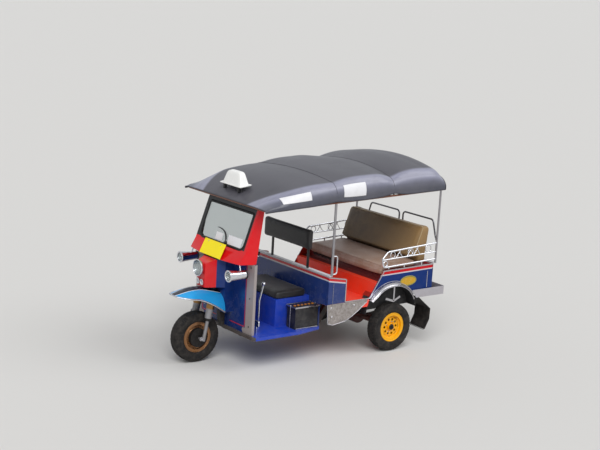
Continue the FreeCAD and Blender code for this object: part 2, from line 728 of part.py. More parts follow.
def leg_shield():
    """Upright front sheet with side returns and the hollow spine round the column."""
    foot = FLOOR_Z + SEAT_GAP
    t = SHEET
    half = SHIELD_HALF
    plate = cross_plate([(-half, foot), (-half, SHIELD_TOP), (half, SHIELD_TOP), (half, foot)],
                        SHIELD_X - t, SHIELD_X)
    returned = block(SHIELD_X - 28, SHIELD_X, half - t, half, foot, SHIELD_TOP)
    low_line = [(SPINE_KNEE, 0), (SPINE_KNEE, SPINE_HALF), (SHIELD_X - 1, SPINE_HALF)]
    high_line = [(SPINE_NOSE, SPINE_NOSE_HALF), (SPINE_KNEE, SPINE_HALF), (SHIELD_X - 1, SPINE_HALF)]
    lower = plan_plate(folded(low_line[::-1], t), SPINE_LOW, COWL_LOW + 1)
    upper = plan_plate(folded(high_line[::-1], t), COWL_LOW, SHIELD_TOP - 12)
    shape = fused([plate, returned, mirrored(returned), lower, mirrored(lower),
                   upper, mirrored(upper)])
    gap = NECK_HALF + SEAT_GAP
    neck_low = block(SHIELD_X - 30, SHIELD_X + 1, -gap, gap, foot - 1, 452)
    neck_high = block(SHIELD_X + 1, SPINE_KNEE + t + 1, -gap, gap, SPINE_LOW - 1, HEAD_HIGH + 4)
    return shape.cut(neck_low).cut(neck_high)


def shield_edge_trims():
    """Grey bands down the shield's outer edges, turned in along the foot."""
    foot = FLOOR_Z + SEAT_GAP
    inner = SHIELD_HALF - BAND_WIDTH
    face = SHIELD_X + SEAT_GAP
    band = cross_plate(
        [(SHIELD_HALF, foot, 25), (SHIELD_HALF, SHIELD_TOP), (inner, SHIELD_TOP),
         (inner, foot + 52, 8), (inner - 70, foot + 48, 20), (inner - 30, foot)],
        face, face + BAND_SHEET)
    return pair(band)


def nose_plan(inset, back):
    """Plan of the nose from its back edge to its rounded front."""
    left = [(back, SPINE_NOSE_HALF - 1 - inset), (COWL_FRONT - inset, 74 - inset, 22 - inset)]
    return [(x, -y, *r) for x, y, *r in left[::-1]] + left


def nose_cowl():
    """Hollow nose in front of the steering column; it carries the headlight."""
    back = SPINE_NOSE + SEAT_GAP
    top = SHIELD_TOP - 12.0
    forms = []
    for inset in (0.0, COWL_SHEET):
        plan = plan_plate(nose_plan(inset, back - inset), COWL_LOW - inset, top)
        side = side_plate(
            [(back - inset, COWL_LOW - inset), (COWL_FRONT - inset, COWL_LOW - inset),
             (COWL_FRONT - inset, top - 34 - inset, 24), (back - inset, top - inset)],
            -SPINE_HALF, SPINE_HALF)
        forms.append(plan.common(side))
    return forms[0].cut(forms[1])


def bullet_lamp(side):
    """One side lamp: a chrome bullet on a short stalk under the scuttle's corner."""
    length = BULLET_LENGTH
    r = BULLET_RADIUS
    centre = Vector(at(BULLET_FACE), side * BULLET_Y, BULLET_Z)
    shell = turned([(-length, 0), (-length, 8), (-length * 0.85, 30, 30), (-length * 0.3, r - 2, 120),
                    (0, r), (0, r - 6), (-12, r - 8), (-36, r - 26), (-40, 0)],
                   centre, Vector(1, 0, 0))
    stalk_x = BULLET_FACE - 138.0
    sole = CREASE_Z - COWL_SHEET - SEAT_GAP
    stalk = rod((stalk_x, side * BULLET_Y, BULLET_Z + r - 8),
                (stalk_x - 4, side * (BULLET_Y - 24), sole + 6), 7.0)
    above = block(0, WHEELBASE, -BODY_HALF, BODY_HALF, sole, sole + 30)
    return fused([shell, stalk.cut(above)])


def front_lamps():
    """Chrome shells: the headlight, the twin horns and the two bullet lamps."""
    axis = Vector(1, 0, 0)
    r = HEADLIGHT_RADIUS
    depth = HEADLIGHT_FACE - COWL_FRONT - SEAT_GAP
    head = turned([(-depth, 0), (-depth, r - 30), (-depth + 18, r - 10, 16), (-10, r, 8), (0, r),
                   (0, r - 8), (-10, r - 10), (-depth + 12, r - 44), (-depth + 8, 0)],
                  Vector(at(HEADLIGHT_FACE), 0, HEADLIGHT_Z), axis)
    horn = turned([(0, 0), (0, 16), (14, 30), (14, 26), (6, 0)],
                  Vector(at(COWL_FRONT + SEAT_GAP), 34, HORN_Z), axis)
    return Part.makeCompound([head, horn, mirrored(horn), bullet_lamp(1), bullet_lamp(-1)])


def lamp_lenses():
    """Glass of the headlight and of the bullet lamps."""
    axis = Vector(1, 0, 0)
    back = -10.0 + SEAT_GAP
    lenses = []
    for r, bow, face, y, z in ((HEADLIGHT_RADIUS - 8.0, 8.0, HEADLIGHT_FACE, 0.0, HEADLIGHT_Z),
                               (BULLET_RADIUS - 6.0, 6.0, BULLET_FACE, BULLET_Y, BULLET_Z),
                               (BULLET_RADIUS - 6.0, 6.0, BULLET_FACE, -BULLET_Y, BULLET_Z)):
        lens = turned([(back, 0), (back, r - 2.5), (-1, r - 0.5), (bow, 0)],
                      Vector(at(face), y, z), axis)
        lenses.append(lens)
    return Part.makeCompound(lenses)


def screen_point(u, w):
    """XZ of a point u along the windscreen from its foot and w in front of it."""
    dx = SCREEN_HIGH[0] - SCREEN_LOW[0]
    dz = SCREEN_HIGH[1] - SCREEN_LOW[1]
    length = math.hypot(dx, dz)
    return (SCREEN_LOW[0] + (dx * u + dz * w) / length,
            SCREEN_LOW[1] + (dz * u - dx * w) / length)


def screen_slab(half, u_low, u_high, w_low, w_high, radius):
    """A slab in the windscreen's plane with rounded lower corners."""
    def place(y, u):
        x, z = screen_point(u, w_low)
        return (at(x), y, z)
    face = outline([(-half, u_low, radius), (half, u_low, radius), (half, u_high, radius / 3),
                    (-half, u_high, radius / 3)], place)
    ax, az = screen_point(0, 0)
    bx, bz = screen_point(0, w_high - w_low)
    return face.extrude(Vector(bx - ax, 0, bz - az))


def screen_x(z):
    """X of the windscreen's plane at a height."""
    share = (z - SCREEN_LOW[1]) / (SCREEN_HIGH[1] - SCREEN_LOW[1])
    return SCREEN_LOW[0] + (SCREEN_HIGH[0] - SCREEN_LOW[0]) * share


def pillar_rear(z):
    """Plan place of a pillar's rear edge at a height."""
    share = (z - CREASE_Z) / (header_top() - CREASE_Z)
    return between(PILLAR_FOOT, PILLAR_HEAD, share)


def header_x():
    """X of the cross tube that rests on the windscreen's header."""
    return screen_x(RAIL_FRONT_Z)


def header_top():
    """Height of the header under the cross tube."""
    return rail_height(header_x()) - ROOF_RAIL_RADIUS - SEAT_GAP


def scuttle_form(inset, z_low, z_high):
    """Scuttle as a solid: bowed crease below, straight foot of the screen above."""
    wires = []
    reach = 60.0 if inset else 0.0
    for z, x, half, bow in ((z_low, CREASE_X, CREASE_HALF, CREASE_BOW),
                            (z_high, screen_x(SCUTTLE_TOP) + 4, PILLAR_HALF, 2.0)):
        rear_x, rear_y = pillar_rear(z)
        left = Vector(at(x - inset), half - inset, z)
        right = Vector(at(x - inset), inset - half, z)
        crown = Vector(at(x + bow - inset), 0, z)
        rear_left = Vector(at(rear_x - reach), rear_y - inset, z)
        rear_right = Vector(at(rear_x - reach), inset - rear_y, z)
        wires.append(Part.Wire([
            Part.LineSegment(rear_left, left).toShape(), Part.Arc(left, crown, right).toShape(),
            Part.LineSegment(right, rear_right).toShape(),
            Part.LineSegment(rear_right, rear_left).toShape()]))
    return Part.makeLoft(wires, True, True), Part.Face(wires[0])


def windscreen_surround():
    """Scuttle, pillars and header round the windscreen, one welded piece."""
    t = COWL_SHEET
    outer, base = scuttle_form(0.0, CREASE_Z, SCUTTLE_TOP)
    inner, _ = scuttle_form(t, CREASE_Z - 0.5, SCUTTLE_TOP + 0.5)
    rear_cut = block(0, SHIELD_X - SHEET, -BODY_HALF, BODY_HALF, CREASE_Z - 50, CREASE_Z)
    sole = base.extrude(Vector(0, 0, -t)).cut(rear_cut)
    middle = block(0, WHEELBASE, -SPINE_HALF - 6, SPINE_HALF + 6, CREASE_Z - 50, CREASE_Z)
    shapes = [outer.cut(inner), sole.cut(middle)]
    length = math.hypot(SCREEN_HIGH[0] - SCREEN_LOW[0], SCREEN_HIGH[1] - SCREEN_LOW[1])
    rise = (SCREEN_HIGH[1] - SCREEN_LOW[1]) / length
    top = header_top()
    ring = screen_slab(PILLAR_HALF, -22, (top + 30 - SCREEN_LOW[1]) / rise, FRAME_BACK, FRAME_FACE, 3)
    ring = ring.cut(screen_slab(SCREEN_HALF, 0, length, -20, 20, 60))
    over = block(0, WHEELBASE, -BODY_HALF, BODY_HALF, top, top + 200)
    shapes.append(ring.cut(over))
    sections = []
    for z in (SCUTTLE_TOP - 3, top):
        rear_x, rear_y = pillar_rear(z)
        front_x = screen_x(z) + FRAME_FACE
        sections.append([(rear_x, rear_y, z), (front_x, PILLAR_HALF, z),
                         (front_x, PILLAR_HALF - t, z), (rear_x, rear_y - t, z)])
    pillar = lofted(sections)
    shapes += [pillar, mirrored(pillar)]
    low, high = 1118.0, 1136.0
    root = screen_x(SCUTTLE_TOP)
    for y in (-110, 110):
        bracket = side_plate(
            [(root, low), (plate_x(low) - SEAT_GAP, low), (plate_x(high) - SEAT_GAP, high),
             (root, high)], y - 12, y + 12)
        shapes.append(bracket.cut(inner))
    return fused(shapes)


def plate_line():
    """Front face of the plate in the XZ plane, from its foot to its head."""
    foot = (CREASE_X + CREASE_BOW + SEAT_GAP + PLATE_SHEET + 2.0, CREASE_Z + 2.0)
    return [foot, (foot[0] - 68.0, foot[1] + 139.0)]


def plate_x(z):
    """X of the plate's back at a height."""
    foot, head = plate_line()
    return foot[0] + (head[0] - foot[0]) * (z - foot[1]) / (head[1] - foot[1])


def windscreen_glass():
    """Flat safety glass in the surround."""
    length = math.hypot(SCREEN_HIGH[0] - SCREEN_LOW[0], SCREEN_HIGH[1] - SCREEN_LOW[1])
    return screen_slab(SCREEN_HALF - SEAT_GAP, SEAT_GAP, length - SEAT_GAP, -4, -4 + GLASS,
                       60 - SEAT_GAP)


def front_mudguard():
    """Domed guard over the front wheel, fixed to the spine."""
    back = SPINE_KNEE + SEAT_GAP
    # Sections: x, half width, height of the lower edge, height of the crown
    stations = ((back, 180, 512, 706), (ahead(-100), 182, 590, 738), (ahead(40), 176, 655, 748),
                (ahead(170), 150, 676, 725), (GUARD_TIP, 60, 690, 702))
    solids = []
    for inset in (0.0, GUARD_SHEET):
        wires = []
        for x, half, low, top in stations:
            x = x - inset if x == GUARD_TIP else x
            low = low - 1.25 * inset
            left = Vector(at(x), half - inset, low)
            crown = Vector(at(x), 0, top - inset)
            right = Vector(at(x), inset - half, low)
            arc = Part.Arc(left, crown, right).toShape()
            wires.append(Part.Wire([arc, Part.LineSegment(right, left).toShape()]))
        solids.append(Part.makeLoft(wires, True, False))
    column = axis_rod(HEAD_LOW, COWL_LOW + 60, HEAD_RADIUS + SEAT_GAP)
    return solids[0].cut(solids[1]).cut(column)


def front_plate():
    """Blank plate on two brackets in front of the scuttle."""
    return side_plate(folded(plate_line(), PLATE_SHEET)[::-1], -PLATE_HALF, PLATE_HALF)


# Driver's place

def driver_cushion():
    """Pad on the seat box."""
    back = PARTITION_X + SHEET + 29.0
    return block(back, SEAT_BOX_FRONT + 10, -SEAT_BOX_HALF - 15, SEAT_BOX_HALF + 15,
                 SEAT_BOX_TOP + SEAT_GAP, SEAT_BOX_TOP + PAD_THICK)


def driver_backrest():
    """Pad on two feet over the partition's top rail."""
    foot = PARTITION_TOP + CAP + SEAT_GAP
    back = PARTITION_X + SHEET + 2.0
    pad = block(back + 14, back + 72, -400, 400, 1085, 1310)
    feet = [block(back, back + 14, y - 15, y + 15, foot, 1200) for y in (-300, 300)]
    return fused([pad] + feet)


def battery():
    """Battery with its overhanging lid, on the floor beside the seat box."""
    case = block(885, 1165, 375, 512, FLOOR_Z + SEAT_GAP, 560)
    lid = block(880, 1170, 370, 517, 545, 566)
    return fused([case, lid])


def driver_controls():
    """Two pedals and the gear lever."""
    foot = FLOOR_Z + SEAT_GAP
    shapes = []
    for y in (-430, 430):
        pad = cross_plate([(y - 40, 405, 10), (y + 40, 405, 10), (y + 40, 465, 10),
                           (y - 40, 465, 10)], 1566, 1578)
        arm = block(1566, 1578, y - 7, y + 7, foot, 425)
        shapes.append(fused([pad, arm]))
    lever = tube([(1420, 250, foot), (1420, 250, 600), (1380, 250, 760)], 9.0, 60.0)
    knob = Part.makeSphere(20.0, Vector(at(1378), 250, 770))
    shapes.append(fused([lever, knob]))
    return Part.makeCompound(shapes)


# Roof

def rail_height(x):
    """Height of the roof rail's centre line."""
    share = (ROOF_FRONT - x) / (ROOF_FRONT - ROOF_REAR)
    return RAIL_FRONT_Z + (RAIL_REAR_Z - RAIL_FRONT_Z) * share


def roof_x(share):
    """X at a share of the roof's length, counted from its front edge."""
    return ROOF_FRONT + (ROOF_REAR - ROOF_FRONT) * share


def roof_frame():
    """Tube rails of the roof with the cross bows and the tube over the windscreen."""
    r = ROOF_RAIL_RADIUS
    front = ROOF_FRONT - RAIL_INSET
    rear = ROOF_REAR + RAIL_INSET
    rail = tube([(front, 0, rail_height(front)), (front, ROOF_RAIL_Y, rail_height(front)),
                 (rear, ROOF_RAIL_Y, rail_height(rear)), (rear, 0, rail_height(rear))], r, 40.0)
    head = header_x()
    z = rail_height(head)
    shapes = [both(rail), rod((head, -ROOF_RAIL_Y, z), (head, ROOF_RAIL_Y, z), r)]
    # Bows: share of the roof's length, rise over the rails, half width of the flat
    for share, rise, flat in ((0.13, 96, 560), (0.373, 172, 610), (0.698, 142, 610)):
        x = roof_x(share)
        z = rail_height(x)
        bow = tube([(x, ROOF_RAIL_Y, z), (x, flat, z + rise), (x, -flat, z + rise),
                    (x, -ROOF_RAIL_Y, z)], r - 2, 60.0)
        shapes.append(bow)
    return fused(shapes)


def post_top(x, beside):
    """Height of a post's top under the rail, whose line runs beside the post's edge."""
    return rail_height(x) - math.sqrt(ROOF_RAIL_RADIUS ** 2 - beside ** 2) - 3.0 * SEAT_GAP


def roof_posts():
    """Four posts from the body to the roof rails."""
    front = rod((FRONT_POST_X, POST_Y, PARTITION_TOP + CAP + SEAT_GAP),
                (FRONT_POST_X, POST_Y, post_top(FRONT_POST_X, RAIL_OUTSET - POST_RADIUS)), POST_RADIUS)
    rear = rod((REAR_POST_X, POST_Y, FLANGE_Z + SHEET + SEAT_GAP),
               (REAR_POST_X, POST_Y, post_top(REAR_POST_X, 0.0)), REAR_POST_RADIUS)
    return Part.makeCompound([front, rear, mirrored(front), mirrored(rear)])


# Roof cover sections, heights over the rail's centre line:
# share of the roof's length, lower edge, shoulder, middle, half width of the shoulder
CANOPY_STATIONS = (
    (0.000, -12, 30, 33, 380),
    (0.024, -10, 66, 76, 430),
    (0.150, -6, 148, 178, 590),
    (0.275, 2, 188, 226, 625),
    (0.369, 16, 198, 232, 630),
    (0.497, 4, 226, 264, 632),
    (0.615, 10, 228, 270, 632),
    (0.692, 24, 176, 236, 628),
    (0.755, 10, 226, 272, 632),
    (0.903, 3, 240, 277, 632),
    (1.000, 0, 118, 150, 600),
)


def canopy_section(station, inset, x):
    """One cross section of the roof cover, a closed wire of lines and arcs."""
    _, low, shoulder, middle, reach = station
    base = rail_height(x)
    half = CANOPY_HALF - inset
    bottom = base + low - 3.0 * inset
    hem = base + low + HEM
    side = (half, reach - inset)
    top = base + shoulder - inset
    bulge = (sum(side) / 2.0 + 0.16 * (top - hem), (hem + top) / 2.0 + 0.14 * (side[0] - side[1]))
    crown = base + middle - inset
    places = {"foot": (half, bottom), "hem": (half, hem), "bulge": bulge, "shoulder": (side[1], top)}
    left = {name: Vector(at(x), y, z) for name, (y, z) in places.items()}
    right = {name: Vector(at(x), -y, z) for name, (y, z) in places.items()}
    edges = [
        Part.LineSegment(left["foot"], left["hem"]).toShape(),
        Part.Arc(left["hem"], left["bulge"], left["shoulder"]).toShape(),
        Part.Arc(left["shoulder"], Vector(at(x), 0, crown), right["shoulder"]).toShape(),
        Part.Arc(right["shoulder"], right["bulge"], right["hem"]).toShape(),
        Part.LineSegment(right["hem"], right["foot"]).toShape(),
        Part.LineSegment(right["foot"], left["foot"]).toShape(),
    ]
    return Part.Wire(edges)


def canopy_solid(inset):
    """The roof cover's outer form, or with an inset its inner one."""
    wires = []
    last = len(CANOPY_STATIONS) - 1
    for i, station in enumerate(CANOPY_STATIONS):
        x = roof_x(station[0]) + inset * ((i == last) - (i == 0))
        wires.append(canopy_section(station, inset, x))
    return Part.makeLoft(wires, True, True)


def roof_canopy():
    """Vinyl roof cover: a hollow of few sections, open below."""
    return canopy_solid(0.0).cut(canopy_solid(CANOPY_WALL))


def roof_sign():
    """Blank box sign on a flange with two feet, tilted with the roof's front slope."""
    front = ahead(-336.0)
    low = RAIL_FRONT_Z + 132.0
    tilt = 0.134
    rear = front - SIGN_DEPTH

    def ring(x_front, x_rear, half, lift):
        corners = ((x_front, -half), (x_front, half), (x_rear, half), (x_rear, -half))
        return [(x, y, low + lift + (front - x) * tilt) for x, y in corners]

    top = SIGN_HEIGHT
    flange = lofted([ring(front, rear, SIGN_HALF, 0), ring(front, rear, SIGN_HALF, 7)])
    body = lofted([ring(front - 9, rear + 9, SIGN_HALF - 24, 6),
                   ring(front - 24, rear + 22, SIGN_HALF - 58, top * 0.8),
                   ring(front - 40, rear + 38, SIGN_HALF - 82, top)])
    cover = canopy_solid(0.0).translated(Vector(0, 0, SEAT_GAP))
    shapes = [flange, body]
    for y in (-120, 120):
        foot = block(front - 40, front - 12, y - 12, y + 12, low - 90, low + 8)
        shapes.append(foot.cut(cover))
    return fused(shapes)


# Rails and handles

def ring_bar(x, y, z, radius, thick):
    """A round bar bent into a closed ring in the XZ plane."""
    return Part.makeTorus(radius, thick, Vector(at(x), y, z), Vector(0, 1, 0))


def rail_line(z_rear, z_front):
    """Height of a side rail along X, from its two end heights."""
    rear = REAR_POST_X
    front = DOOR_REAR_TOP - 33.0
    return lambda x: z_rear + (z_front - z_rear) * (x - rear) / (front - rear)


def side_rails():
    """Bright rails with scroll work over the body sides, and the grab handles."""
    y = POST_Y
    r = RAIL_TUBE
    thin = THIN_TUBE
    start = REAR_POST_X + REAR_POST_RADIUS + 3.0 * SEAT_GAP
    nose = DOOR_REAR_TOP + 27.0
    top = rail_line(1103, 1064)
    middle = rail_line(1008, 986)
    low = rail_line(932, 906)
    bend = DOOR_REAR_TOP - 43.0
    shapes = [
        tube([(start, y, top(start)), (bend, y, top(bend)), (nose, y, middle(nose) + 10),
              (nose - 12, y, low(nose) + 8), (nose - 55, y, low(nose - 55))], r, 30.0),
        rod((start, y, middle(start)), (nose - 6, y, middle(nose - 6)), thin),
        rod((start, y, low(start)), (nose - 50, y, low(nose - 50)), r),
        ring_bar(nose - 44, y, low(nose - 44) + 38, 27, 5),
    ]
    for x in (-330, -90, 120):
        shapes.append(rod((x, y, SIDE_TOP_REAR + SEAT_GAP), (x, y, low(x)), thin))
    # Scroll work between the two upper rails: x of the foot, run to the head
    for x, run in ((-300, 60), (-210, 60), (-210, -60), (-120, -60), (-60, 60), (30, -60)):
        shapes.append(rod((x, y, middle(x)), (x + run, y, top(x + run)), 4.0))
    for x in (-410, -165, 75):
        gap = top(x) - middle(x)
        shapes.append(ring_bar(x, y, middle(x) + gap / 2.0, gap / 2.0 - 8.0, 4.5))
    post_face = FRONT_POST_X - POST_RADIUS - SEAT_GAP
    hand = post_face - 47.0
    grab = tube([(post_face, y, 1085), (hand, y, 1085), (hand, y, 905), (post_face, y, 905)],
                thin, 22.0)
    return pair(Part.makeCompound([fused(shapes), grab]))


def rear_rails():
    """Hoops behind the bench's backrest."""
    foot = FLANGE_Z + SHEET + SEAT_GAP
    back = REAR_POST_X - 75.0
    top = BACKREST_TOP_Z + 27.0
    side = top - 182.0
    hoop = tube([(REAR_POST_X - 5, 30, foot), (REAR_POST_X - 5, 30, foot + 50),
                 (back, 30, foot + 110), (back, 30, top), (back, POST_Y - 162, top),
                 (back, POST_Y - 102, side),
                 (REAR_POST_X - 2, POST_Y - REAR_POST_RADIUS - SEAT_GAP - 2, side)],
                RAIL_TUBE, 40.0)
    post = rod((REAR_POST_X, POST_Y, 800), (REAR_POST_X, POST_Y, 1400),
               REAR_POST_RADIUS + SEAT_GAP)
    return pair(hoop.cut(post))


# Seats

def bench_cushion():
    """Passenger bench pad."""
    back = BACKREST_FOOT - 22.0
    top = BENCH_Z + BENCH_THICK
    return side_plate([(back, BENCH_Z), (BENCH_FRONT, BENCH_Z, 20), (BENCH_FRONT, top, 30),
                       (back, top)], -BENCH_HALF, BENCH_HALF)


def bench_backrest():
    """Passenger backrest pad, leaning back, with its foot behind the cushion."""
    seat = BENCH_Z + BENCH_THICK + SEAT_GAP
    foot = BENCH_Z + 14.0
    head = BACKREST_FOOT - BACKREST_LEAN
    back = head - BACKREST_THICK
    behind = BACKREST_FOOT - 32.0
    return side_plate([(BACKREST_FOOT, seat), (head, BACKREST_TOP_Z, 30), (back, BACKREST_TOP_Z, 30),
                       (back, foot), (behind, foot), (behind, seat)], -BENCH_HALF, BENCH_HALF)


def build():
    """Makes every node of the vehicle."""
    nodes = {
        "chassis_frame": chassis_frame(),
        "rear_axle": rear_axle(),
        "engine_block": engine_block(),
        "exhaust": exhaust(),
        "driver_floor": driver_floor(),
        "passenger_floor": passenger_floor(),
        "seat_riser": seat_riser(),
        "partition_panel": partition_panel(),
        "side_panel_left": side_panel(1),
        "side_panel_right": side_panel(-1),
        "rear_panel": rear_panel(),
        "arch_trims": arch_trims(),
        "sill_skirts": sill_skirts(),
        "rear_bumper": rear_bumper(),
        "mud_flaps": mud_flaps(),
        "tail_lamps": tail_lamps(),
        "leg_shield": leg_shield(),
        "shield_edge_trims": shield_edge_trims(),
        "nose_cowl": nose_cowl(),
        "front_lamps": front_lamps(),
        "lamp_lenses": lamp_lenses(),
        "windscreen_surround": windscreen_surround(),
        "windscreen_glass": windscreen_glass(),
        "front_mudguard": front_mudguard(),
        "front_plate": front_plate(),
        "driver_cushion": driver_cushion(),
        "driver_backrest": driver_backrest(),
        "battery": battery(),
        "driver_controls": driver_controls(),
        "roof_frame": roof_frame(),
        "roof_posts": roof_posts(),
        "roof_canopy": roof_canopy(),
        "roof_sign": roof_sign(),
        "side_rails": side_rails(),
        "rear_rails": rear_rails(),
        "bench_cushion": bench_cushion(),
        "bench_backrest": bench_backrest(),
        "fork": fork(),
        "handlebar": handlebar(),
    }
    for name, (wheel_rim, wheel_tyre) in (("front", front_wheel()),
                                          ("rear_left", rear_wheel(1)),
                                          ("rear_right", rear_wheel(-1))):
        nodes[name + "_rim"] = wheel_rim
        nodes[name + "_tyre"] = wheel_tyre
    return nodes


os.makedirs("parts", exist_ok=True)
for node, shape in build().items():
    shape.exportStep("parts/" + node + ".step")
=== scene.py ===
"""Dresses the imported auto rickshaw: a finish for every solid, and the pieces that the solids leave out.

Metres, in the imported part's frame: +X forward, +Y to the vehicle's left, +Z up from the ground.
"""
from __future__ import annotations

import logging
import math
from collections.abc import Sequence
from dataclasses import dataclass
from enum import Enum
from typing import Any

import bmesh
import bpy
import numpy as np
from mathutils import Matrix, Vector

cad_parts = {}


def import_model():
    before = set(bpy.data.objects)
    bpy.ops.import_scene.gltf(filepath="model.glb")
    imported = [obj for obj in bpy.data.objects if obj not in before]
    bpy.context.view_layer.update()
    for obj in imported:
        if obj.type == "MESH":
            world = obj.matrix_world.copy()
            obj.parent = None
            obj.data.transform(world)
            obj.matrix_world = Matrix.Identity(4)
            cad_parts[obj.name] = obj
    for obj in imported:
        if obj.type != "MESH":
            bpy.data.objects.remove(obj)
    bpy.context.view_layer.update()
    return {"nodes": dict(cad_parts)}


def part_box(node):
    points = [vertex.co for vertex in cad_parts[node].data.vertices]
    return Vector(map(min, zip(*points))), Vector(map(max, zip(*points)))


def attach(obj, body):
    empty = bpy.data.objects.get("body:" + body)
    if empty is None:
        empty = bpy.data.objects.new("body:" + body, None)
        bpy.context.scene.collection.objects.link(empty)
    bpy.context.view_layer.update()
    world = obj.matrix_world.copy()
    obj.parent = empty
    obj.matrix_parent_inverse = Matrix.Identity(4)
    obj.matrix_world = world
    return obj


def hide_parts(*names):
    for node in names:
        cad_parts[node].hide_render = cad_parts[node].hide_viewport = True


LOG = logging.getLogger("auto_rickshaw")

# Short names of types
Numbers = Sequence[float]
Triple = tuple[float, float, float]
Socket = bpy.types.NodeSocket

# Places that several pieces share, in metres
REAR_AXLE_X = -0.8
FRONT_AXLE_X = 1.2
TRACK = 1.19
BODY_HALF = 0.665
RAKE = math.radians(11.0)


class Body(Enum):
    """The bodies that pieces ride on."""

    BODY = "body"
    STEERING = "steering"
    FRONT_WHEEL = "front_wheel"
    REAR_LEFT = "rear_wheel_left"
    REAR_RIGHT = "rear_wheel_right"


def linear(code: str) -> tuple[float, float, float, float]:
    """Turns an sRGB hex colour into linear red, green, blue and alpha.

    Args:
        code: the colour, such as "#1d3f8f".

    Returns:
        Four linear values.
    """
    parts = [int(code[i:i + 2], 16) / 255.0 for i in (1, 3, 5)]
    red, green, blue = (p / 12.92 if p <= 0.04045 else ((p + 0.055) / 1.055) ** 2.4 for p in parts)
    return red, green, blue, 1.0


# Shapes as arrays

def unit(vectors: np.ndarray) -> np.ndarray:
    """Vectors divided by their lengths."""
    return vectors / np.linalg.norm(vectors, axis=-1, keepdims=True)


def bent(corners: Sequence[Numbers], radius: float | Numbers, closed: bool = False,
         steps: int = 7) -> np.ndarray:
    """Rounds the corners of a line of points.

    Each arc runs between the two tangent points, radius / tan(half angle) from the corner, about a
    centre that lies radius / sin(half angle) from it along the bisector.

    Args:
        corners: the points, in two or three dimensions.
        radius: one radius, or one for each corner.
        closed: whether the line is an outline.
        steps: points on each arc.

    Returns:
        The rounded line's points.
    """
    points = np.asarray(corners, float)
    before = np.roll(points, 1, 0) - points
    after = np.roll(points, -1, 0) - points
    if not closed:
        before[0] = -after[0]
        after[-1] = -before[-1]
    before, after = unit(before), unit(after)
    half = np.arccos(np.clip((before * after).sum(1), -1.0, 1.0)) / 2.0
    radii = np.broadcast_to(np.asarray(radius, float), half.shape).copy()
    flat = half > math.pi / 2 - 1e-3
    if not closed:
        flat[[0, -1]] = True
    radii[flat] = 0.0
    half[flat] = math.pi / 4
    reach = (radii / np.tan(half))[:, None]
    start = points + before * reach
    end = points + after * reach
    middle = before + after
    middle[flat] = 1.0
    centre = points + unit(middle) * (radii / np.sin(half))[:, None]
    turn = math.pi - 2.0 * half
    share = np.linspace(0.0, 1.0, steps)
    first = np.sin((1.0 - share)[None] * turn[:, None]) / np.sin(turn)[:, None]
    last = np.sin(share[None] * turn[:, None]) / np.sin(turn)[:, None]
    arcs = centre[:, None] + first[..., None] * (start - centre)[:, None]
    arcs = arcs + last[..., None] * (end - centre)[:, None]
    sharp = radii <= 0.0
    arcs[sharp] = points[sharp][:, None]
    keep = np.ones(arcs.shape[:2], bool)
    keep[sharp, 1:] = False
    return arcs[keep]


def through(knots: Numbers, values: np.ndarray, at: np.ndarray) -> np.ndarray:
    """A smooth curve through values at knots, by cubic Hermite pieces with central slopes.

    Args:
        knots: increasing places of the values.
        values: one value, or array of values, for each knot.
        at: places to work the curve out at.

    Returns:
        The curve's values, one row for each place.
    """
    marks = np.asarray(knots, float)
    rows = np.asarray(values, float)
    slopes = np.gradient(rows, marks, axis=0)
    piece = np.clip(np.searchsorted(marks, at, side="right") - 1, 0, len(marks) - 2)
    step = marks[piece + 1] - marks[piece]
    shape = (-1,) + (1,) * (rows.ndim - 1)
    t = ((at - marks[piece]) / step).reshape(shape)
    width = step.reshape(shape)
    return ((2 * t**3 - 3 * t**2 + 1) * rows[piece] + (t**3 - 2 * t**2 + t) * width * slopes[piece]
            + (3 * t**2 - 2 * t**3) * rows[piece + 1] + (t**3 - t**2) * width * slopes[piece + 1])


def evenly(path: np.ndarray, count: int) -> np.ndarray:
    """The path's shape with a count of points at even distances along it."""
    steps = np.linalg.norm(np.diff(path, axis=0), axis=1)
    length = np.concatenate([[0.0], np.cumsum(steps)])
    marks = np.linspace(0.0, length[-1], count)
    return np.stack([np.interp(marks, length, path[:, i]) for i in range(path.shape[1])], axis=1)


def frames(path: np.ndarray, closed: bool) -> tuple[np.ndarray, np.ndarray]:
    """Two directions across a path: one near the normal of its best plane, one square to that."""
    if closed:
        ahead = np.roll(path, -1, 0) - np.roll(path, 1, 0)
    else:
        ahead = np.gradient(path, axis=0)
    ahead = unit(ahead)
    normal = np.linalg.svd(path - path.mean(0), full_matrices=False)[2][-1]
    side = unit(normal - (ahead @ normal)[:, None] * ahead)
    return side, np.cross(ahead, side)


def around(count: int) -> np.ndarray:
    """Angles of one full turn at even steps."""
    return np.linspace(0.0, 2.0 * math.pi, count, endpoint=False)


def circle(radius: float, sides: int, flatten: float = 1.0) -> np.ndarray:
    """Points of a circle, or of an ellipse where flatten scales its second axis."""
    turn = around(sides)
    return np.stack([radius * np.cos(turn), radius * flatten * np.sin(turn)], axis=1)


def flat_bar(thick: float, wide: float) -> np.ndarray:
    """The section of a flat bar, as a profile for a sweep."""
    return np.array([(-1.0, -1.0), (1.0, -1.0), (1.0, 1.0), (-1.0, 1.0)]) * (thick / 2.0, wide / 2.0)


def places(x: Any, y: Any, z: Any) -> np.ndarray:
    """Points from their coordinates, each an array or one number for all points."""
    return np.stack(np.broadcast_arrays(x, y, z), axis=-1)


def upright(x: float, y: Any, z: float, radius: Any, turn: np.ndarray) -> np.ndarray:
    """Places on an arc in a plane along X and Z: x + radius cos turn, y, z + radius sin turn."""
    return places(x + radius * np.cos(turn), y, z + radius * np.sin(turn))


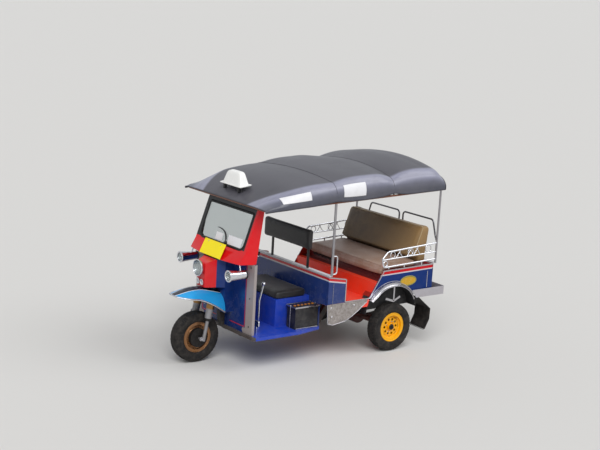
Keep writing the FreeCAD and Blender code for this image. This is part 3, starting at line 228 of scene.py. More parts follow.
class Form:
    """Gathers the surfaces of one piece as arrays of points and lists of faces."""

    def __init__(self) -> None:
        """Starts with no surface."""
        self.points: list[np.ndarray] = []
        self.faces: list[list[int]] = []
        self.count = 0

    def grid(self, points: np.ndarray, close_rows: bool = False, close_columns: bool = False,
             caps: bool = False) -> Form:
        """Adds quads over a grid of points.

        Args:
            points: rows by columns by three.
            close_rows: joins the last row to the first.
            close_columns: joins the last column to the first.
            caps: puts a face on the first and the last row.

        Returns:
            This form.
        """
        rows, columns = points.shape[:2]
        index = self.count + np.arange(rows * columns).reshape(rows, columns)
        first, last = index[0], index[-1]
        if close_rows:
            index = np.vstack([index, index[:1]])
        if close_columns:
            index = np.hstack([index, index[:, :1]])
        quads = np.stack([index[:-1, :-1], index[:-1, 1:], index[1:, 1:], index[1:, :-1]], axis=-1)
        self.faces += quads.reshape(-1, 4).tolist()
        if caps:
            self.faces += [first[::-1].tolist(), last.tolist()]
        self.points.append(points.reshape(-1, 3))
        self.count += rows * columns
        return self

    def sweep(self, path: np.ndarray, profile: np.ndarray, closed: bool = False) -> Form:
        """Carries a closed profile along a path: path + first * side + second * up."""
        path = np.asarray(path, float)
        side, up = frames(path, closed)
        points = (path[:, None] + profile[None, :, :1] * side[:, None]
                  + profile[None, :, 1:] * up[:, None])
        return self.grid(points, close_rows=closed, close_columns=True, caps=not closed)

    def tube(self, path: np.ndarray, radius: float, sides: int = 12, closed: bool = False) -> Form:
        """Carries a circle along a path."""
        return self.sweep(path, circle(radius, sides), closed)

    def lathe(self, profile: Sequence[Numbers], centre: Numbers, axis: Numbers, steps: int = 48) -> Form:
        """Turns an outline of (along, radius) about an axis: centre + along * axis + radius * out."""
        line = np.asarray(profile, float)
        spin = unit(np.asarray(axis, float))
        helper = np.array([0.0, 0.0, 1.0]) if abs(spin[2]) < 0.9 else np.array([1.0, 0.0, 0.0])
        first = unit(np.cross(spin, helper))
        second = np.cross(spin, first)
        turn = around(steps)[:, None]
        out = np.cos(turn) * first + np.sin(turn) * second
        points = (np.asarray(centre, float) + line[None, :, :1] * spin
                  + line[None, :, 1:] * out[:, None])
        return self.grid(points, close_rows=True, close_columns=True)

    def slab(self, outline: np.ndarray, depth: Numbers) -> Form:
        """Pushes a closed flat outline along a vector and closes both ends."""
        ring = np.asarray(outline, float)
        return self.grid(np.stack([ring, ring + np.asarray(depth, float)]), close_columns=True, caps=True)

    def box(self, low: Numbers, high: Numbers) -> Form:
        """Adds a plain box, for small parts that a bevel rounds."""
        x0, y0, z0 = low
        x1, y1, z1 = high
        ring = np.array([(x0, y0, z0), (x1, y0, z0), (x1, y1, z0), (x0, y1, z0)])
        return self.slab(ring, (0.0, 0.0, z1 - z0))

    def studs(self, spots: Sequence[Numbers], axis: Numbers, radius: float,
              height: float, sides: int = 6) -> Form:
        """Adds a bolt head with a turned edge at each place."""
        profile = [(-height * 0.4, 0.0), (-height * 0.4, radius), (height * 0.7, radius),
                   (height, radius * 0.75), (height, 0.0)]
        for spot in spots:
            self.lathe(profile, spot, axis, sides)
        return self

    def mirrored(self) -> Form:
        """Adds the same surfaces on the vehicle's other side."""
        points = np.concatenate(self.points)
        flipped = points * np.array([1.0, -1.0, 1.0])
        faces = [[i + self.count for i in face[::-1]] for face in self.faces]
        self.points = [points, flipped]
        self.faces = self.faces + faces
        self.count *= 2
        return self

    def piece(self, name: str, finish: Finish, slot: str, body: Body = Body.BODY,
              crease: float = 35.0, bevel: float = 0.0) -> bpy.types.Object:
        """Makes the piece's mesh, closes its seams, dresses it and lets it ride on its body.

        Args:
            name: the piece's name.
            finish: its finish.
            slot: not used.
            body: the body that it rides on.
            crease: edges sharper than this many degrees stay sharp.
            bevel: width that a bevel takes off the sharp edges, 0 for none.

        Returns:
            The object.
        """
        mesh = bpy.data.meshes.new(name)
        mesh.from_pydata(np.concatenate(self.points).tolist(), [], self.faces)
        obj = linked(name, mesh)
        work = bmesh.new()
        work.from_mesh(mesh)
        bmesh.ops.remove_doubles(work, verts=work.verts, dist=1e-6)
        bmesh.ops.dissolve_degenerate(work, edges=work.edges, dist=1e-7)
        bmesh.ops.recalc_face_normals(work, faces=work.faces)
        work.to_mesh(mesh)
        work.free()
        if bevel > 0.0:
            modifier = obj.modifiers.new("edges", "BEVEL")
            modifier.width = bevel
            modifier.segments = 2
            modifier.limit_method = "ANGLE"
            settle(obj)
        soften(obj.data, crease)
        dress(obj, finish)
        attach(obj, body.value)
        LOG.info("%s: %d faces", name, len(obj.data.polygons))
        return obj


def linked(name: str, data: bpy.types.ID) -> bpy.types.Object:
    """A new object for a mesh, camera or lamp, put into the scene."""
    obj = bpy.data.objects.new(name, data)
    bpy.context.scene.collection.objects.link(obj)
    return obj


def soften(mesh: bpy.types.Mesh, crease: float) -> None:
    """Shades a mesh smooth apart from edges sharper than crease degrees."""
    mesh.shade_smooth()
    mesh.set_sharp_from_angle(angle=math.radians(crease))


def settle(obj: bpy.types.Object) -> bpy.types.Object:
    """Applies the modifiers of an object to its mesh."""
    bpy.context.view_layer.update()
    graph = bpy.context.evaluated_depsgraph_get()
    mesh = bpy.data.meshes.new_from_object(obj.evaluated_get(graph))
    old = obj.data
    name = old.name
    obj.modifiers.clear()
    obj.data = mesh
    bpy.data.meshes.remove(old)
    mesh.name = name
    return obj


def thicken(obj: bpy.types.Object, wall: float, offset: float) -> None:
    """Gives a sheet a wall: offset -1 puts it inside the sheet, 0 to both sides."""
    modifier = obj.modifiers.new("wall", "SOLIDIFY")
    modifier.thickness = wall
    modifier.offset = offset
    settle(obj)


def points_of(obj: bpy.types.Object) -> np.ndarray:
    """The points of an object's mesh, one row each."""
    flat = np.zeros(len(obj.data.vertices) * 3)
    obj.data.vertices.foreach_get("co", flat)
    return flat.reshape(-1, 3)


# Finishes

class Shader:
    """A material's node tree round one Principled shader."""

    def __init__(self, name: str, **sockets: Any) -> None:
        """Makes the material; sockets are values of the shader, with _ for each space."""
        self.material = bpy.data.materials.new(name)
        self.material.use_nodes = True
        self.tree = self.material.node_tree
        self.tree.nodes.clear()
        self.surface = self.add("ShaderNodeBsdfPrincipled")
        for socket, value in sockets.items():
            self.surface.inputs[socket.replace("_", " ")].default_value = value
        out = self.add("ShaderNodeOutputMaterial")
        self.tree.links.new(self.surface.outputs[0], out.inputs[0])
        coordinates = self.add("ShaderNodeTexCoord").outputs
        self.place, self.facing = coordinates["Object"], coordinates["Normal"]

    def add(self, kind: str, inputs: dict[Any, Any] | None = None, **settings: Any) -> bpy.types.Node:
        """Adds a node with its settings, and values or links for its inputs.

        Args:
            kind: the node's type.
            inputs: a value or an output socket for each input's name or number.
            settings: the node's own settings.

        Returns:
            The node.
        """
        node = self.tree.nodes.new(kind)
        for setting, value in settings.items():
            setattr(node, setting, value)
        for socket, value in (inputs or {}).items():
            if isinstance(value, Socket):
                self.tree.links.new(value, node.inputs[socket])
            else:
                node.inputs[socket].default_value = value
        return node

    def link(self, output: Socket, socket: str) -> None:
        """Links an output to one of the surface's sockets."""
        self.tree.links.new(output, self.surface.inputs[socket])

    def noise(self, per_metre: float, detail: float = 4.0, rough: float = 0.6) -> Socket:
        """A cloudy value that varies this many times a metre."""
        node = self.add("ShaderNodeTexNoise", {"Vector": self.place, "Scale": per_metre,
                                               "Detail": detail, "Roughness": rough})
        return node.outputs["Fac"]

    def remap(self, value: Socket, low: float, high: float, to_low: float, to_high: float) -> Socket:
        """A value moved from one range to another and kept inside it."""
        node = self.add("ShaderNodeMapRange", {"Value": value, "From Min": low, "From Max": high,
                                               "To Min": to_low, "To Max": to_high})
        return node.outputs["Result"]

    def math(self, operation: str, first: Any, second: Any = 0.0) -> Socket:
        """The result of a sum or comparison of two values."""
        return self.add("ShaderNodeMath", {0: first, 1: second}, operation=operation).outputs[0]

    def blend(self, share: Any, first: Any, second: Any, kind: str = "MIX") -> Socket:
        """A colour between two colours, each a link or a hex text."""
        node = self.add("ShaderNodeMix", data_type="RGBA", blend_type=kind)
        for index, value in ((0, share), (6, first), (7, second)):
            value = linear(value) if isinstance(value, str) else value
            if isinstance(value, Socket):
                self.tree.links.new(value, node.inputs[index])
            else:
                node.inputs[index].default_value = value
        return node.outputs[2]

    def bump(self, height: Socket, depth: float, strength: float = 1.0) -> None:
        """Raises the surface's shading by a height times depth in metres."""
        node = self.add("ShaderNodeBump", {"Height": height, "Distance": depth, "Strength": strength})
        self.link(node.outputs[0], "Normal")

    def axes(self, vector: Socket | None = None) -> Any:
        """X, Y and Z of a vector, or of the place where none is given."""
        return self.add("ShaderNodeSeparateXYZ", {0: self.place if vector is None else vector}).outputs

    def along(self, direction: Numbers) -> Socket:
        """The place's distance along a direction."""
        return self.add("ShaderNodeVectorMath", {0: self.place, 1: direction},
                        operation="DOT_PRODUCT").outputs["Value"]

    def clouds(self, per_metre: float, low: float, high: float, most: float, detail: float = 4.0,
               rough: float = 0.6) -> Socket:
        """Clouds that rise from 0 to most where the noise goes from low to high."""
        return self.remap(self.noise(per_metre, detail, rough), low, high, 0.0, most)

    def wave(self, per_metre: float, axis: str) -> Socket:
        """Bands that follow each other along an axis."""
        return self.add("ShaderNodeTexWave", {"Vector": self.place, "Scale": per_metre},
                        bands_direction=axis).outputs["Fac"]


class Finish:
    """What the finishes share: each makes one material and keeps it."""

    made: dict[str, bpy.types.Material] = {}

    def shader(self) -> Shader:
        """The nodes of this finish."""
        raise NotImplementedError

    def material(self) -> bpy.types.Material:
        """The finish's material, made on first use."""
        name = self.name  # type: ignore[attr-defined]
        if name not in Finish.made:
            Finish.made[name] = self.shader().material
        return Finish.made[name]


def dress(obj: bpy.types.Object, finish: Finish) -> None:
    """Gives a whole object one finish."""
    obj.data.materials.clear()
    obj.data.materials.append(finish.material())


@dataclass(frozen=True)
class Enamel(Finish):
    """Sprayed alkyd enamel on sheet steel: deep gloss, faint orange peel and road dust low down."""

    name: str
    colour: str
    roughness: float = 0.22
    metallic: float = 0.0
    dust: str = "#8b8076"
    dusty: float = 0.3
    fade: float = 0.03
    gloss: float = 0.35

    def faded(self, shader: Shader, colour: Any) -> Socket:
        """A colour that the sun has made paler in clouds a third of a metre wide."""
        return shader.blend(shader.clouds(3.0, 0.35, 0.75, self.fade), colour, "#ffffff")

    def base(self, shader: Shader) -> Socket:
        """The clean paint's colour."""
        return self.faded(shader, self.colour)

    def shader(self) -> Shader:
        """Paint, then dust that thickens towards the ground and gathers in clouds."""
        shader = Shader(self.name, Metallic=self.metallic, Specular_IOR_Level=self.gloss,
                        Coat_Weight=0.25 * self.gloss, Coat_Roughness=0.06)
        low = shader.remap(shader.axes()[2], 0.25, 0.8, self.dusty, 0.04)
        share = shader.math("MULTIPLY", low, shader.clouds(14.0, 0.38, 0.7, 1.0, 6.0))
        shader.link(shader.blend(share, self.base(shader), self.dust), "Base Color")
        shader.link(shader.remap(share, 0.0, 0.4, self.roughness, 0.7), "Roughness")
        # Orange peel of sprayed enamel, 3 mm across
        shader.bump(shader.noise(330.0, 1.0), 0.0002, 0.25)
        return shader


@dataclass(frozen=True)
class BandedEnamel(Enamel):
    """Enamel with painted bands: each band is (low edge, high edge, colour) along a direction."""

    direction: Triple = (0.0, 0.0, 1.0)
    span: tuple[float, float] = (0.0, 1.0)
    bands: tuple[tuple[float, float, str], ...] = ()

    def base(self, shader: Shader) -> Socket:
        """The paint with its bands, as a ramp without blending along the direction."""
        low, high = self.span
        share = shader.remap(shader.along(self.direction), low, high, 0.0, 1.0)
        ramp = shader.add("ShaderNodeValToRGB", {0: share})
        ramp.color_ramp.interpolation = "CONSTANT"
        stops = ramp.color_ramp.elements
        stops[0].color = linear(self.colour)
        stops.remove(stops[1])
        for start, end, colour in self.bands:
            for edge, paint in ((start, colour), (end, self.colour)):
                stops.new((edge - low) / (high - low)).color = linear(paint)
        return self.faded(shader, ramp.outputs[0])


@dataclass(frozen=True)
class LinedBands(BandedEnamel):
    """Banded enamel outside, and another colour on everything behind the outer skin's rear part."""

    inside: str = "#a3251a"
    skin_y: float = 0.6605
    from_x: float = -0.2

    def base(self, shader: Shader) -> Socket:
        """The inner colour where |y| is under skin_y and x under from_x."""
        outer = super().base(shader)
        axes = shader.axes()
        within = shader.math("LESS_THAN", shader.math("ABSOLUTE", axes[1]), self.skin_y)
        within = shader.math("MULTIPLY", within, shader.math("LESS_THAN", axes[0], self.from_x))
        return shader.blend(within, outer, self.inside)


@dataclass(frozen=True)
class EdgedEnamel(Enamel):
    """Enamel on the leg shield whose outer edges and their returns are grey."""

    edge: str = "#9d9494"
    edge_y: float = 0.384

    def base(self, shader: Shader) -> Socket:
        """Grey where the distance from the middle plane is over edge_y."""
        outer = shader.math("GREATER_THAN", shader.math("ABSOLUTE", shader.axes()[1]), self.edge_y)
        return shader.blend(outer, self.colour, self.edge)


@dataclass(frozen=True)
class TrimAndShadeEnamel(Enamel):
    """Enamel of the screen's surround: a black band round the glass, and black as painted shade over the
    right pillar, the header and the inner faces.
    """

    black_and_shade: str = "#131316"
    ring_y: float = 0.402
    slope: Triple = (-0.326, 0.0, 0.9454)
    foot: float = 0.7928
    inward: float = -0.25

    def base(self, shader: Shader) -> Socket:
        """Black right of ring_y above the glass's foot, and where a face looks inwards or rearwards: a
        black band by the glass, and painted shade over the rest.
        """
        across = shader.axes()[1]
        ring = shader.math("MULTIPLY", shader.math("LESS_THAN", across, self.ring_y),
                           shader.math("GREATER_THAN", shader.along(self.slope), self.foot))
        facing = shader.axes(shader.facing)
        outward = shader.math("MULTIPLY", facing[1], shader.math("SIGN", across))
        inner = shader.math("LESS_THAN", shader.math("ADD", facing[0], outward), self.inward)
        dark = shader.math("MAXIMUM", ring, inner)
        return shader.blend(dark, self.colour, self.black_and_shade)


@dataclass(frozen=True)
class GuardEnamel(Enamel):
    """Metallic enamel of the front guard: a dark crown between two white lines, pale blue sides."""

    crown: str = "#141a30"
    line: str = "#f2f4f8"
    half_width: float = 0.085
    narrowing: float = 0.13
    narrows_from: float = 1.1
    line_half: float = 0.0035

    def base(self, shader: Shader) -> Socket:
        """Colours by the distance from the line, whose half width falls towards the tip."""
        axes = shader.axes()
        ahead = shader.math("MAXIMUM", shader.math("SUBTRACT", axes[0], self.narrows_from), 0.0)
        half = shader.math("SUBTRACT", self.half_width, shader.math("MULTIPLY", ahead, self.narrowing))
        away = shader.math("SUBTRACT", shader.math("ABSOLUTE", axes[1]), half)
        dark = shader.math("LESS_THAN", away, -self.line_half)
        white = shader.math("LESS_THAN", shader.math("ABSOLUTE", away), self.line_half)
        colour = shader.blend(dark, self.colour, self.crown)
        return shader.blend(white, colour, self.line)


@dataclass(frozen=True)
class Metal(Finish):
    """Bare or plated metal: smudged reflections, with small dents or scratches in the shading."""

    name: str
    colour: str
    roughness: float = 0.12
    smudge: float = 0.18
    grain: float = 60.0
    relief: float = 0.0001
    film: str = "#8a8580"
    film_share: float = 0.25

    def shader(self) -> Shader:
        """Metal whose roughness varies in clouds, as handled chrome and mill aluminium do."""
        shader = Shader(self.name, Metallic=1.0)
        cloud = shader.clouds(self.grain, 0.35, 0.75, 1.0, 5.0)
        rough = shader.remap(cloud, 0.0, 1.0, self.roughness, self.roughness + self.smudge)
        shader.link(rough, "Roughness")
        filmed = shader.blend(cloud, self.colour, self.film)
        shader.link(shader.blend(self.film_share, self.colour, filmed), "Base Color")
        shader.bump(shader.noise(self.grain * 4.0, 2.0), self.relief, 0.5)
        return shader


@dataclass(frozen=True)
class Rubber(Finish):
    """Moulded black rubber: matt, greyed with dust, with a fine mould grain."""

    name: str
    colour: str = "#1b1a1b"
    dust: str = "#6a635c"
    dusty: float = 0.35
    roughness: float = 0.75

    def shader(self) -> Shader:
        """Rubber with dust in clouds."""
        shader = Shader(self.name, Roughness=self.roughness, Specular_IOR_Level=0.3)
        cloud = shader.clouds(22.0, 0.42, 0.75, self.dusty, 8.0, 0.7)
        shader.link(shader.blend(cloud, self.colour, self.dust), "Base Color")
        shader.bump(shader.noise(700.0, 2.0), 0.0002, 0.4)
        return shader


@dataclass(frozen=True)
class Vinyl(Finish):
    """Calendered vinyl on cloth backing: pebbled grain about 2 mm across, soft sheen, worn patches."""

    name: str
    colour: str
    worn: str
    wear: float = 0.5
    grain: float = 480.0
    roughness: float = 0.42
    relief: float = 0.0004
    # Colour of the painted light towards the seat's open left side; none where empty
    painted_light: str = ""
    crevice: str = "#1c1712"

    def shader(self) -> Shader:
        """Grain from cell edges, colour that wears paler in clouds and darker in the grain."""
        shader = Shader(self.name, Sheen_Weight=0.08, Specular_IOR_Level=0.45)
        cells = shader.add("ShaderNodeTexVoronoi", {"Vector": shader.place, "Scale": self.grain},
                           feature="DISTANCE_TO_EDGE").outputs["Distance"]
        cloud = shader.clouds(5.0, 0.4, 0.72, self.wear, 7.0, 0.65)
        painted_lit_colour: Any = self.colour
        if self.painted_light:
            # Painted light: the seat is painted paler towards the open left side, where more light falls on
            # it
            lit = shader.remap(shader.axes()[1], -0.5, 0.62, 0.0, 1.0)
            painted_lit_colour = shader.blend(lit, painted_lit_colour, self.painted_light)
        colour = shader.blend(cloud, painted_lit_colour, self.worn)
        dirt = shader.remap(cells, 0.0, 0.12, 0.35, 0.0)
        shader.link(shader.blend(dirt, colour, self.crevice), "Base Color")
        shader.link(shader.remap(cloud, 0.0, 1.0, self.roughness, self.roughness + 0.2), "Roughness")
        shader.bump(shader.remap(cells, 0.0, 0.2, 0.0, 1.0), self.relief, 0.5)
        return shader


@dataclass(frozen=True)
class RoofCloth(Finish):
    """Coated tarpaulin of the roof: a dark weathered top and a shinier valance.

    The attribute "valance" on the mesh is 0 on the top, about 0.5 along the shoulder, where the
    coating is painted pale as a highlight, and 1 at the hem, where it is painted darker as shade.
    """

    name: str
    top: str
    # Colours of the painted highlight along the shoulder and of the painted shade at the hem
    shoulder: str
    hem: str
    bleach: str = "#85838a"
    rain: str = "#4b4a50"

    def shader(self) -> Shader:
        """Weave of 2 mm threads, rain marks that run in clouds, and pale dust in clouds."""
        shader = Shader(self.name, Specular_IOR_Level=0.35, Coat_Roughness=0.22)
        valance = shader.add("ShaderNodeAttribute", attribute_name="valance").outputs["Fac"]
        ramp = shader.add("ShaderNodeValToRGB", {0: valance})
        stops = ramp.color_ramp.elements
        stops[0].color, stops[1].color = linear(self.top), linear(self.hem)
        # Painted light: a pale highlight at the shoulder, darker painted shade towards the hem
        stops.new(0.48).color = linear(self.shoulder)
        shader.link(shader.remap(valance, 0.0, 0.5, 0.0, 0.7), "Coat Weight")
        cloud = shader.clouds(2.5, 0.4, 0.75, 0.25, 8.0, 0.7)
        colour = shader.blend(cloud, ramp.outputs[0], self.bleach)
        streak = shader.add("ShaderNodeMapping", {"Vector": shader.place, "Scale": (9.0, 40.0, 9.0)})
        lines = shader.add("ShaderNodeTexNoise", {"Vector": streak.outputs[0], "Scale": 1.0,
                                                  "Detail": 5.0}).outputs["Fac"]
        colour = shader.blend(shader.remap(lines, 0.5, 0.8, 0.0, 0.3), colour, self.rain)
        shader.link(colour, "Base Color")
        shader.link(shader.remap(cloud, 0.0, 0.4, 0.36, 0.6), "Roughness")
        weave = shader.math("MULTIPLY", shader.wave(160.0, "X"), shader.wave(160.0, "Y"))
        shader.bump(weave, 0.0003, 0.25)
        return shader


@dataclass(frozen=True)
class Glass(Finish):
    """Float or pressed glass: clear, with a faint tint and dust film."""

    name: str
    tint: str = "#eef4f2"
    film: str = "#d8dcd8"
    roughness: float = 0.02
    flutes: float = 0.0

    def shader(self) -> Shader:
        """Clear glass, with a wave in the shading where the lamp's glass is fluted."""
        shader = Shader(self.name, Transmission_Weight=1.0, IOR=1.46)
        rough = shader.remap(shader.noise(9.0, 6.0), 0.4, 0.8, self.roughness, self.roughness + 0.12)
        shader.link(rough, "Roughness")
        share = shader.clouds(2.0, 0.3, 0.8, 0.15)
        shader.link(shader.blend(share, self.tint, self.film), "Base Color")
        if self.flutes > 0.0:
            shader.bump(shader.wave(self.flutes, "Y"), 0.001, 0.6)
        return shader


@dataclass(frozen=True)
class Plastic(Finish):
    """Moulded ABS or acrylic: even colour, slight sheen, fine grain and handling marks."""

    name: str
    colour: str
    worn: str = "#9a9692"
    wear: float = 0.15
    roughness: float = 0.35

    def shader(self) -> Shader:
        """Plastic with scuffs in clouds."""
        shader = Shader(self.name)
        cloud = shader.clouds(18.0, 0.45, 0.75, self.wear, 7.0, 0.7)
        shader.link(shader.blend(cloud, self.colour, self.worn), "Base Color")
        shader.link(shader.remap(cloud, 0.0, 0.3, self.roughness, self.roughness + 0.25), "Roughness")
        shader.bump(shader.noise(900.0, 1.0), 0.0001, 0.2)
        return shader


@dataclass(frozen=True)
class TreadPlate(Finish):
    """Mill aluminium tread plate: bright metal with grey dirt in clouds."""

    name: str
    colour: str = "#b7b0ad"
    dirt: str = "#6d645e"

    def shader(self) -> Shader:
        """Metal with dirt in clouds."""
        shader = Shader(self.name, Metallic=0.75)
        cloud = shader.clouds(30.0, 0.35, 0.7, 0.75, 8.0, 0.7)
        shader.link(shader.blend(cloud, self.colour, self.dirt), "Base Color")
        shader.link(shader.remap(cloud, 0.0, 0.7, 0.3, 0.65), "Roughness")
        shader.bump(shader.noise(240.0, 3.0), 0.0004, 0.5)
        return shader


BLUE = "#0a2e70"
RED = "#c4101c"
BRIGHT_RED = "#db0a17"
SILVER = "#c9c7cc"
SHADOW = "#1b1818"

# Dark blue body: deep gloss with pale streaks of the room
BODY_BLUE = EdgedEnamel("enamel_blue", BLUE, dusty=0.15)
# Driver's floor: a fresher, brighter coat, darker grey-brown at its front
FLOOR_BLUE = BandedEnamel("enamel_floor_blue", "#0b3cb4", roughness=0.3, dusty=0.15,
                          direction=(1.0, 0.0, 0.0), span=(-0.5, 1.2),
                          bands=((0.872, 1.1, "#453f3d"),))
# Rear sides: less glossy, with bands that rise 18 mm a metre to the rear like the top edge
SIDE_BLUE = LinedBands("side_panel_blue", BLUE, dusty=0.06, fade=0.0, gloss=0.12,
                       direction=(0.018, 0.0, 1.0), span=(0.55, 0.90),
                       bands=((0.808, 0.820, SILVER), (0.820, 0.852, RED), (0.852, 0.870, SILVER)))
# Front wings and wall: the same bands fall 178 mm a metre to the rear
WING_BLUE = BandedEnamel("wing_blue", BLUE, direction=(-0.178, 0.0, 1.0), span=(0.30, 0.95),
                         bands=((0.814, 0.826, SILVER), (0.826, 0.852, RED), (0.852, 0.90, SILVER)))
# Back panel: level bands
BACK_BLUE = BandedEnamel("rear_panel_blue", BLUE, span=(0.55, 0.95),
                         bands=((0.832, 0.842, SILVER), (0.842, 0.876, RED), (0.876, 0.90, SILVER)))
# Nose: the brightest and cleanest red of the whole vehicle
COWL_RED = Enamel("enamel_red", BRIGHT_RED, roughness=0.16, dusty=0.05, fade=0.02)
# Windscreen's surround: the same red, a black band round the glass, and black as painted shade over the
# right pillar, the header and the inside
SURROUND_RED = TrimAndShadeEnamel("enamel_red_black_and_shade", BRIGHT_RED, roughness=0.16, dusty=0.05)
# Passengers' deck: warm orange-red, in shadow outside the body's skin
DECK_ORANGE = BandedEnamel("enamel_orange_red", "#ff4630", roughness=0.35, dusty=0.1,
                           direction=(0.0, 1.0, 0.0), span=(-1.0, 1.0),
                           bands=((-0.9, -0.6603, SHADOW), (0.6603, 0.9, SHADOW)))
# The bench's base: orange-red up to its step, and above it a dark maroon that is painted shade under the
# cushion
RISER_RED_AND_SHADE = BandedEnamel("enamel_riser_red_and_shade", "#6b1513", roughness=0.35, dusty=0.1, span=(0.5, 0.9),
                            bands=((0.52, 0.7535, "#ff4020"),))
# Front guard: pale metallic sides that shimmer beside the dark crown
GUARD_BLUE = GuardEnamel("enamel_metallic_blue", "#28a8f0", metallic=0.2, dusty=0.05, fade=0.0)
# Bumper: flat silver paint, dirty low down
BUMPER_GREY = Enamel("aluminium_paint", "#b0adb4", roughness=0.4, metallic=0.3, dusty=0.35)
# Frame and exhaust: black that road dust has turned brown-grey
FRAME_BLACK = Enamel("chassis_black", "#1c1b1c", roughness=0.5, dust="#6d655d", dusty=0.7)
# Axle: old oxide red under the same dust
AXLE_MAROON = Enamel("axle_oxide_red", "#571b1a", roughness=0.55, dust="#5d544c", dusty=0.7)
# Rear rims: a clean warm yellow, the strongest spot low down
RIM_YELLOW = Enamel("rim_yellow", "#f4ae00", roughness=0.3, dust="#7a5a20", dusty=0.1, fade=0.0)
# Front rim: metallic bronze
RIM_BRONZE = Enamel("rim_bronze", "#96683f", roughness=0.24, metallic=0.75, dusty=0.15)
# Number plate: plain saturated yellow
PLATE_YELLOW = Enamel("plate_yellow", "#ffea00", roughness=0.35, dusty=0.0, fade=0.0)
# Edge strips of the leg shield: dull grey
BAND_GREY = Enamel("band_grey", "#9d9494", roughness=0.45, metallic=0.2, dusty=0.4)
# Roof tubes: brown, seen as a thin line under the hem
ROOF_TUBE = Enamel("roof_tube_brown", "#7d4c36", roughness=0.35, metallic=0.3, dusty=0.0)
# Pinstripes of the leg shield
STRIPE_RED = Enamel("stripe_red", "#c9202c", roughness=0.3, dusty=0.1)
# Fork: dusty silver paint
FORK_GREY = Enamel("fork_grey", "#8f8f93", roughness=0.35, metallic=0.6, dusty=0.5)
# Cast pieces: dark, rough and grainy
ENGINE_GREY = Metal("cast_iron", "#4a4a4d", roughness=0.6, grain=90.0, relief=0.0005)
DRUM_GREY = Metal("cast_drum", "#2c2a2a", roughness=0.6, grain=90.0, relief=0.0004)
# Lamps, rails and beads: a bright mirror with smudges
CHROME = Metal("chrome_plate", "#e2e3e8")
# Strips, nuts and brackets: softer shine than chrome
STEEL = Metal("polished_steel", "#c3c1c6", roughness=0.22)
# Roof posts: the dull crystals of galvanising
POST_STEEL = Metal("galvanised_tube", "#a9a7ab", roughness=0.34, grain=35.0)
# Rear rails: dark smoked chrome
RAIL_BLACK = Metal("black_chrome", "#66656b", roughness=0.2)
# Fork sleeves: a small warm glint
BRASS = Metal("brass", "#9b7440", roughness=0.3)
# Tyres matt and dusty, flaps smoother, gaskets nearly clean, seams grey
TYRE_RUBBER = Rubber("tyre_rubber", "#1a1818", dusty=0.3)
FLAP_RUBBER = Rubber("flap_rubber", "#1d1b1b", roughness=0.6)
GASKET = Rubber("gasket_rubber", "#121214", dusty=0.15, roughness=0.5)
SEAM_GREY = Rubber("seam_vinyl", "#3c3c44", dusty=0.2, roughness=0.4)
# Bench: brown backrest and pinkish cushion, both painted paler to the left as painted light, with lighter
# piping
BENCH_VINYL = Vinyl("bench_vinyl", "#54412c", "#9a8058", wear=0.55, painted_light="#9c7b4e")
CUSHION_VINYL = Vinyl("cushion_vinyl", "#9a7562", "#cdbab0", wear=0.75, roughness=0.36, painted_light="#b08e78")
PIPING = Vinyl("piping_vinyl", "#b39a73", "#cdbb97", wear=0.3, roughness=0.3)
# Driver's seat: black vinyl rubbed grey
DRIVER_VINYL = Vinyl("driver_vinyl", "#1e1d1f", "#4a4644", wear=0.4)
# Roof: charcoal top, a painted highlight along the pale shoulder and painted shade at the dark blue-grey
# hem
ROOF_CLOTH = RoofCloth("roof_tarpaulin", "#4a4950", "#8a8ba0", "#3c3e4c")
# Black mouldings: matt lining, smoother battery case
LINING = Plastic("lining_black", "#17171a", roughness=0.55)
BATTERY_BLACK = Plastic("battery_case", "#1b1a1e", roughness=0.4)
CAP_AMBER = Plastic("battery_cap_amber", "#b5701c", roughness=0.3)
# White pieces: the sign clean and glossy, the stickers duller
SIGN_WHITE = Plastic("sign_acrylic", "#f1f1ef", wear=0.06, roughness=0.25)
PATCH_WHITE = Plastic("patch_white", "#e6e6ea", wear=0.12)
# Tail lamps: deep red with a sharp glint
TAIL_RED = Plastic("tail_lamp_red", "#a80f14", wear=0.03, roughness=0.12)
# Oval badges: yellow gold in an olive rim
GOLD = Plastic("badge_gold", "#c79a12", roughness=0.25, wear=0.1)
GOLD_RIM = Plastic("badge_rim", "#8f8a3a", roughness=0.3, wear=0.1)
# Windscreen slightly grey; the lamps' glass breaks up what is behind it
SCREEN = Glass("windscreen_glass", tint="#c6cdce")
LENS = Glass("lamp_glass", flutes=90.0)
# Skirts: bright worn metal with dirty hollows
TREAD_PLATE = TreadPlate("tread_plate")


# Wheels

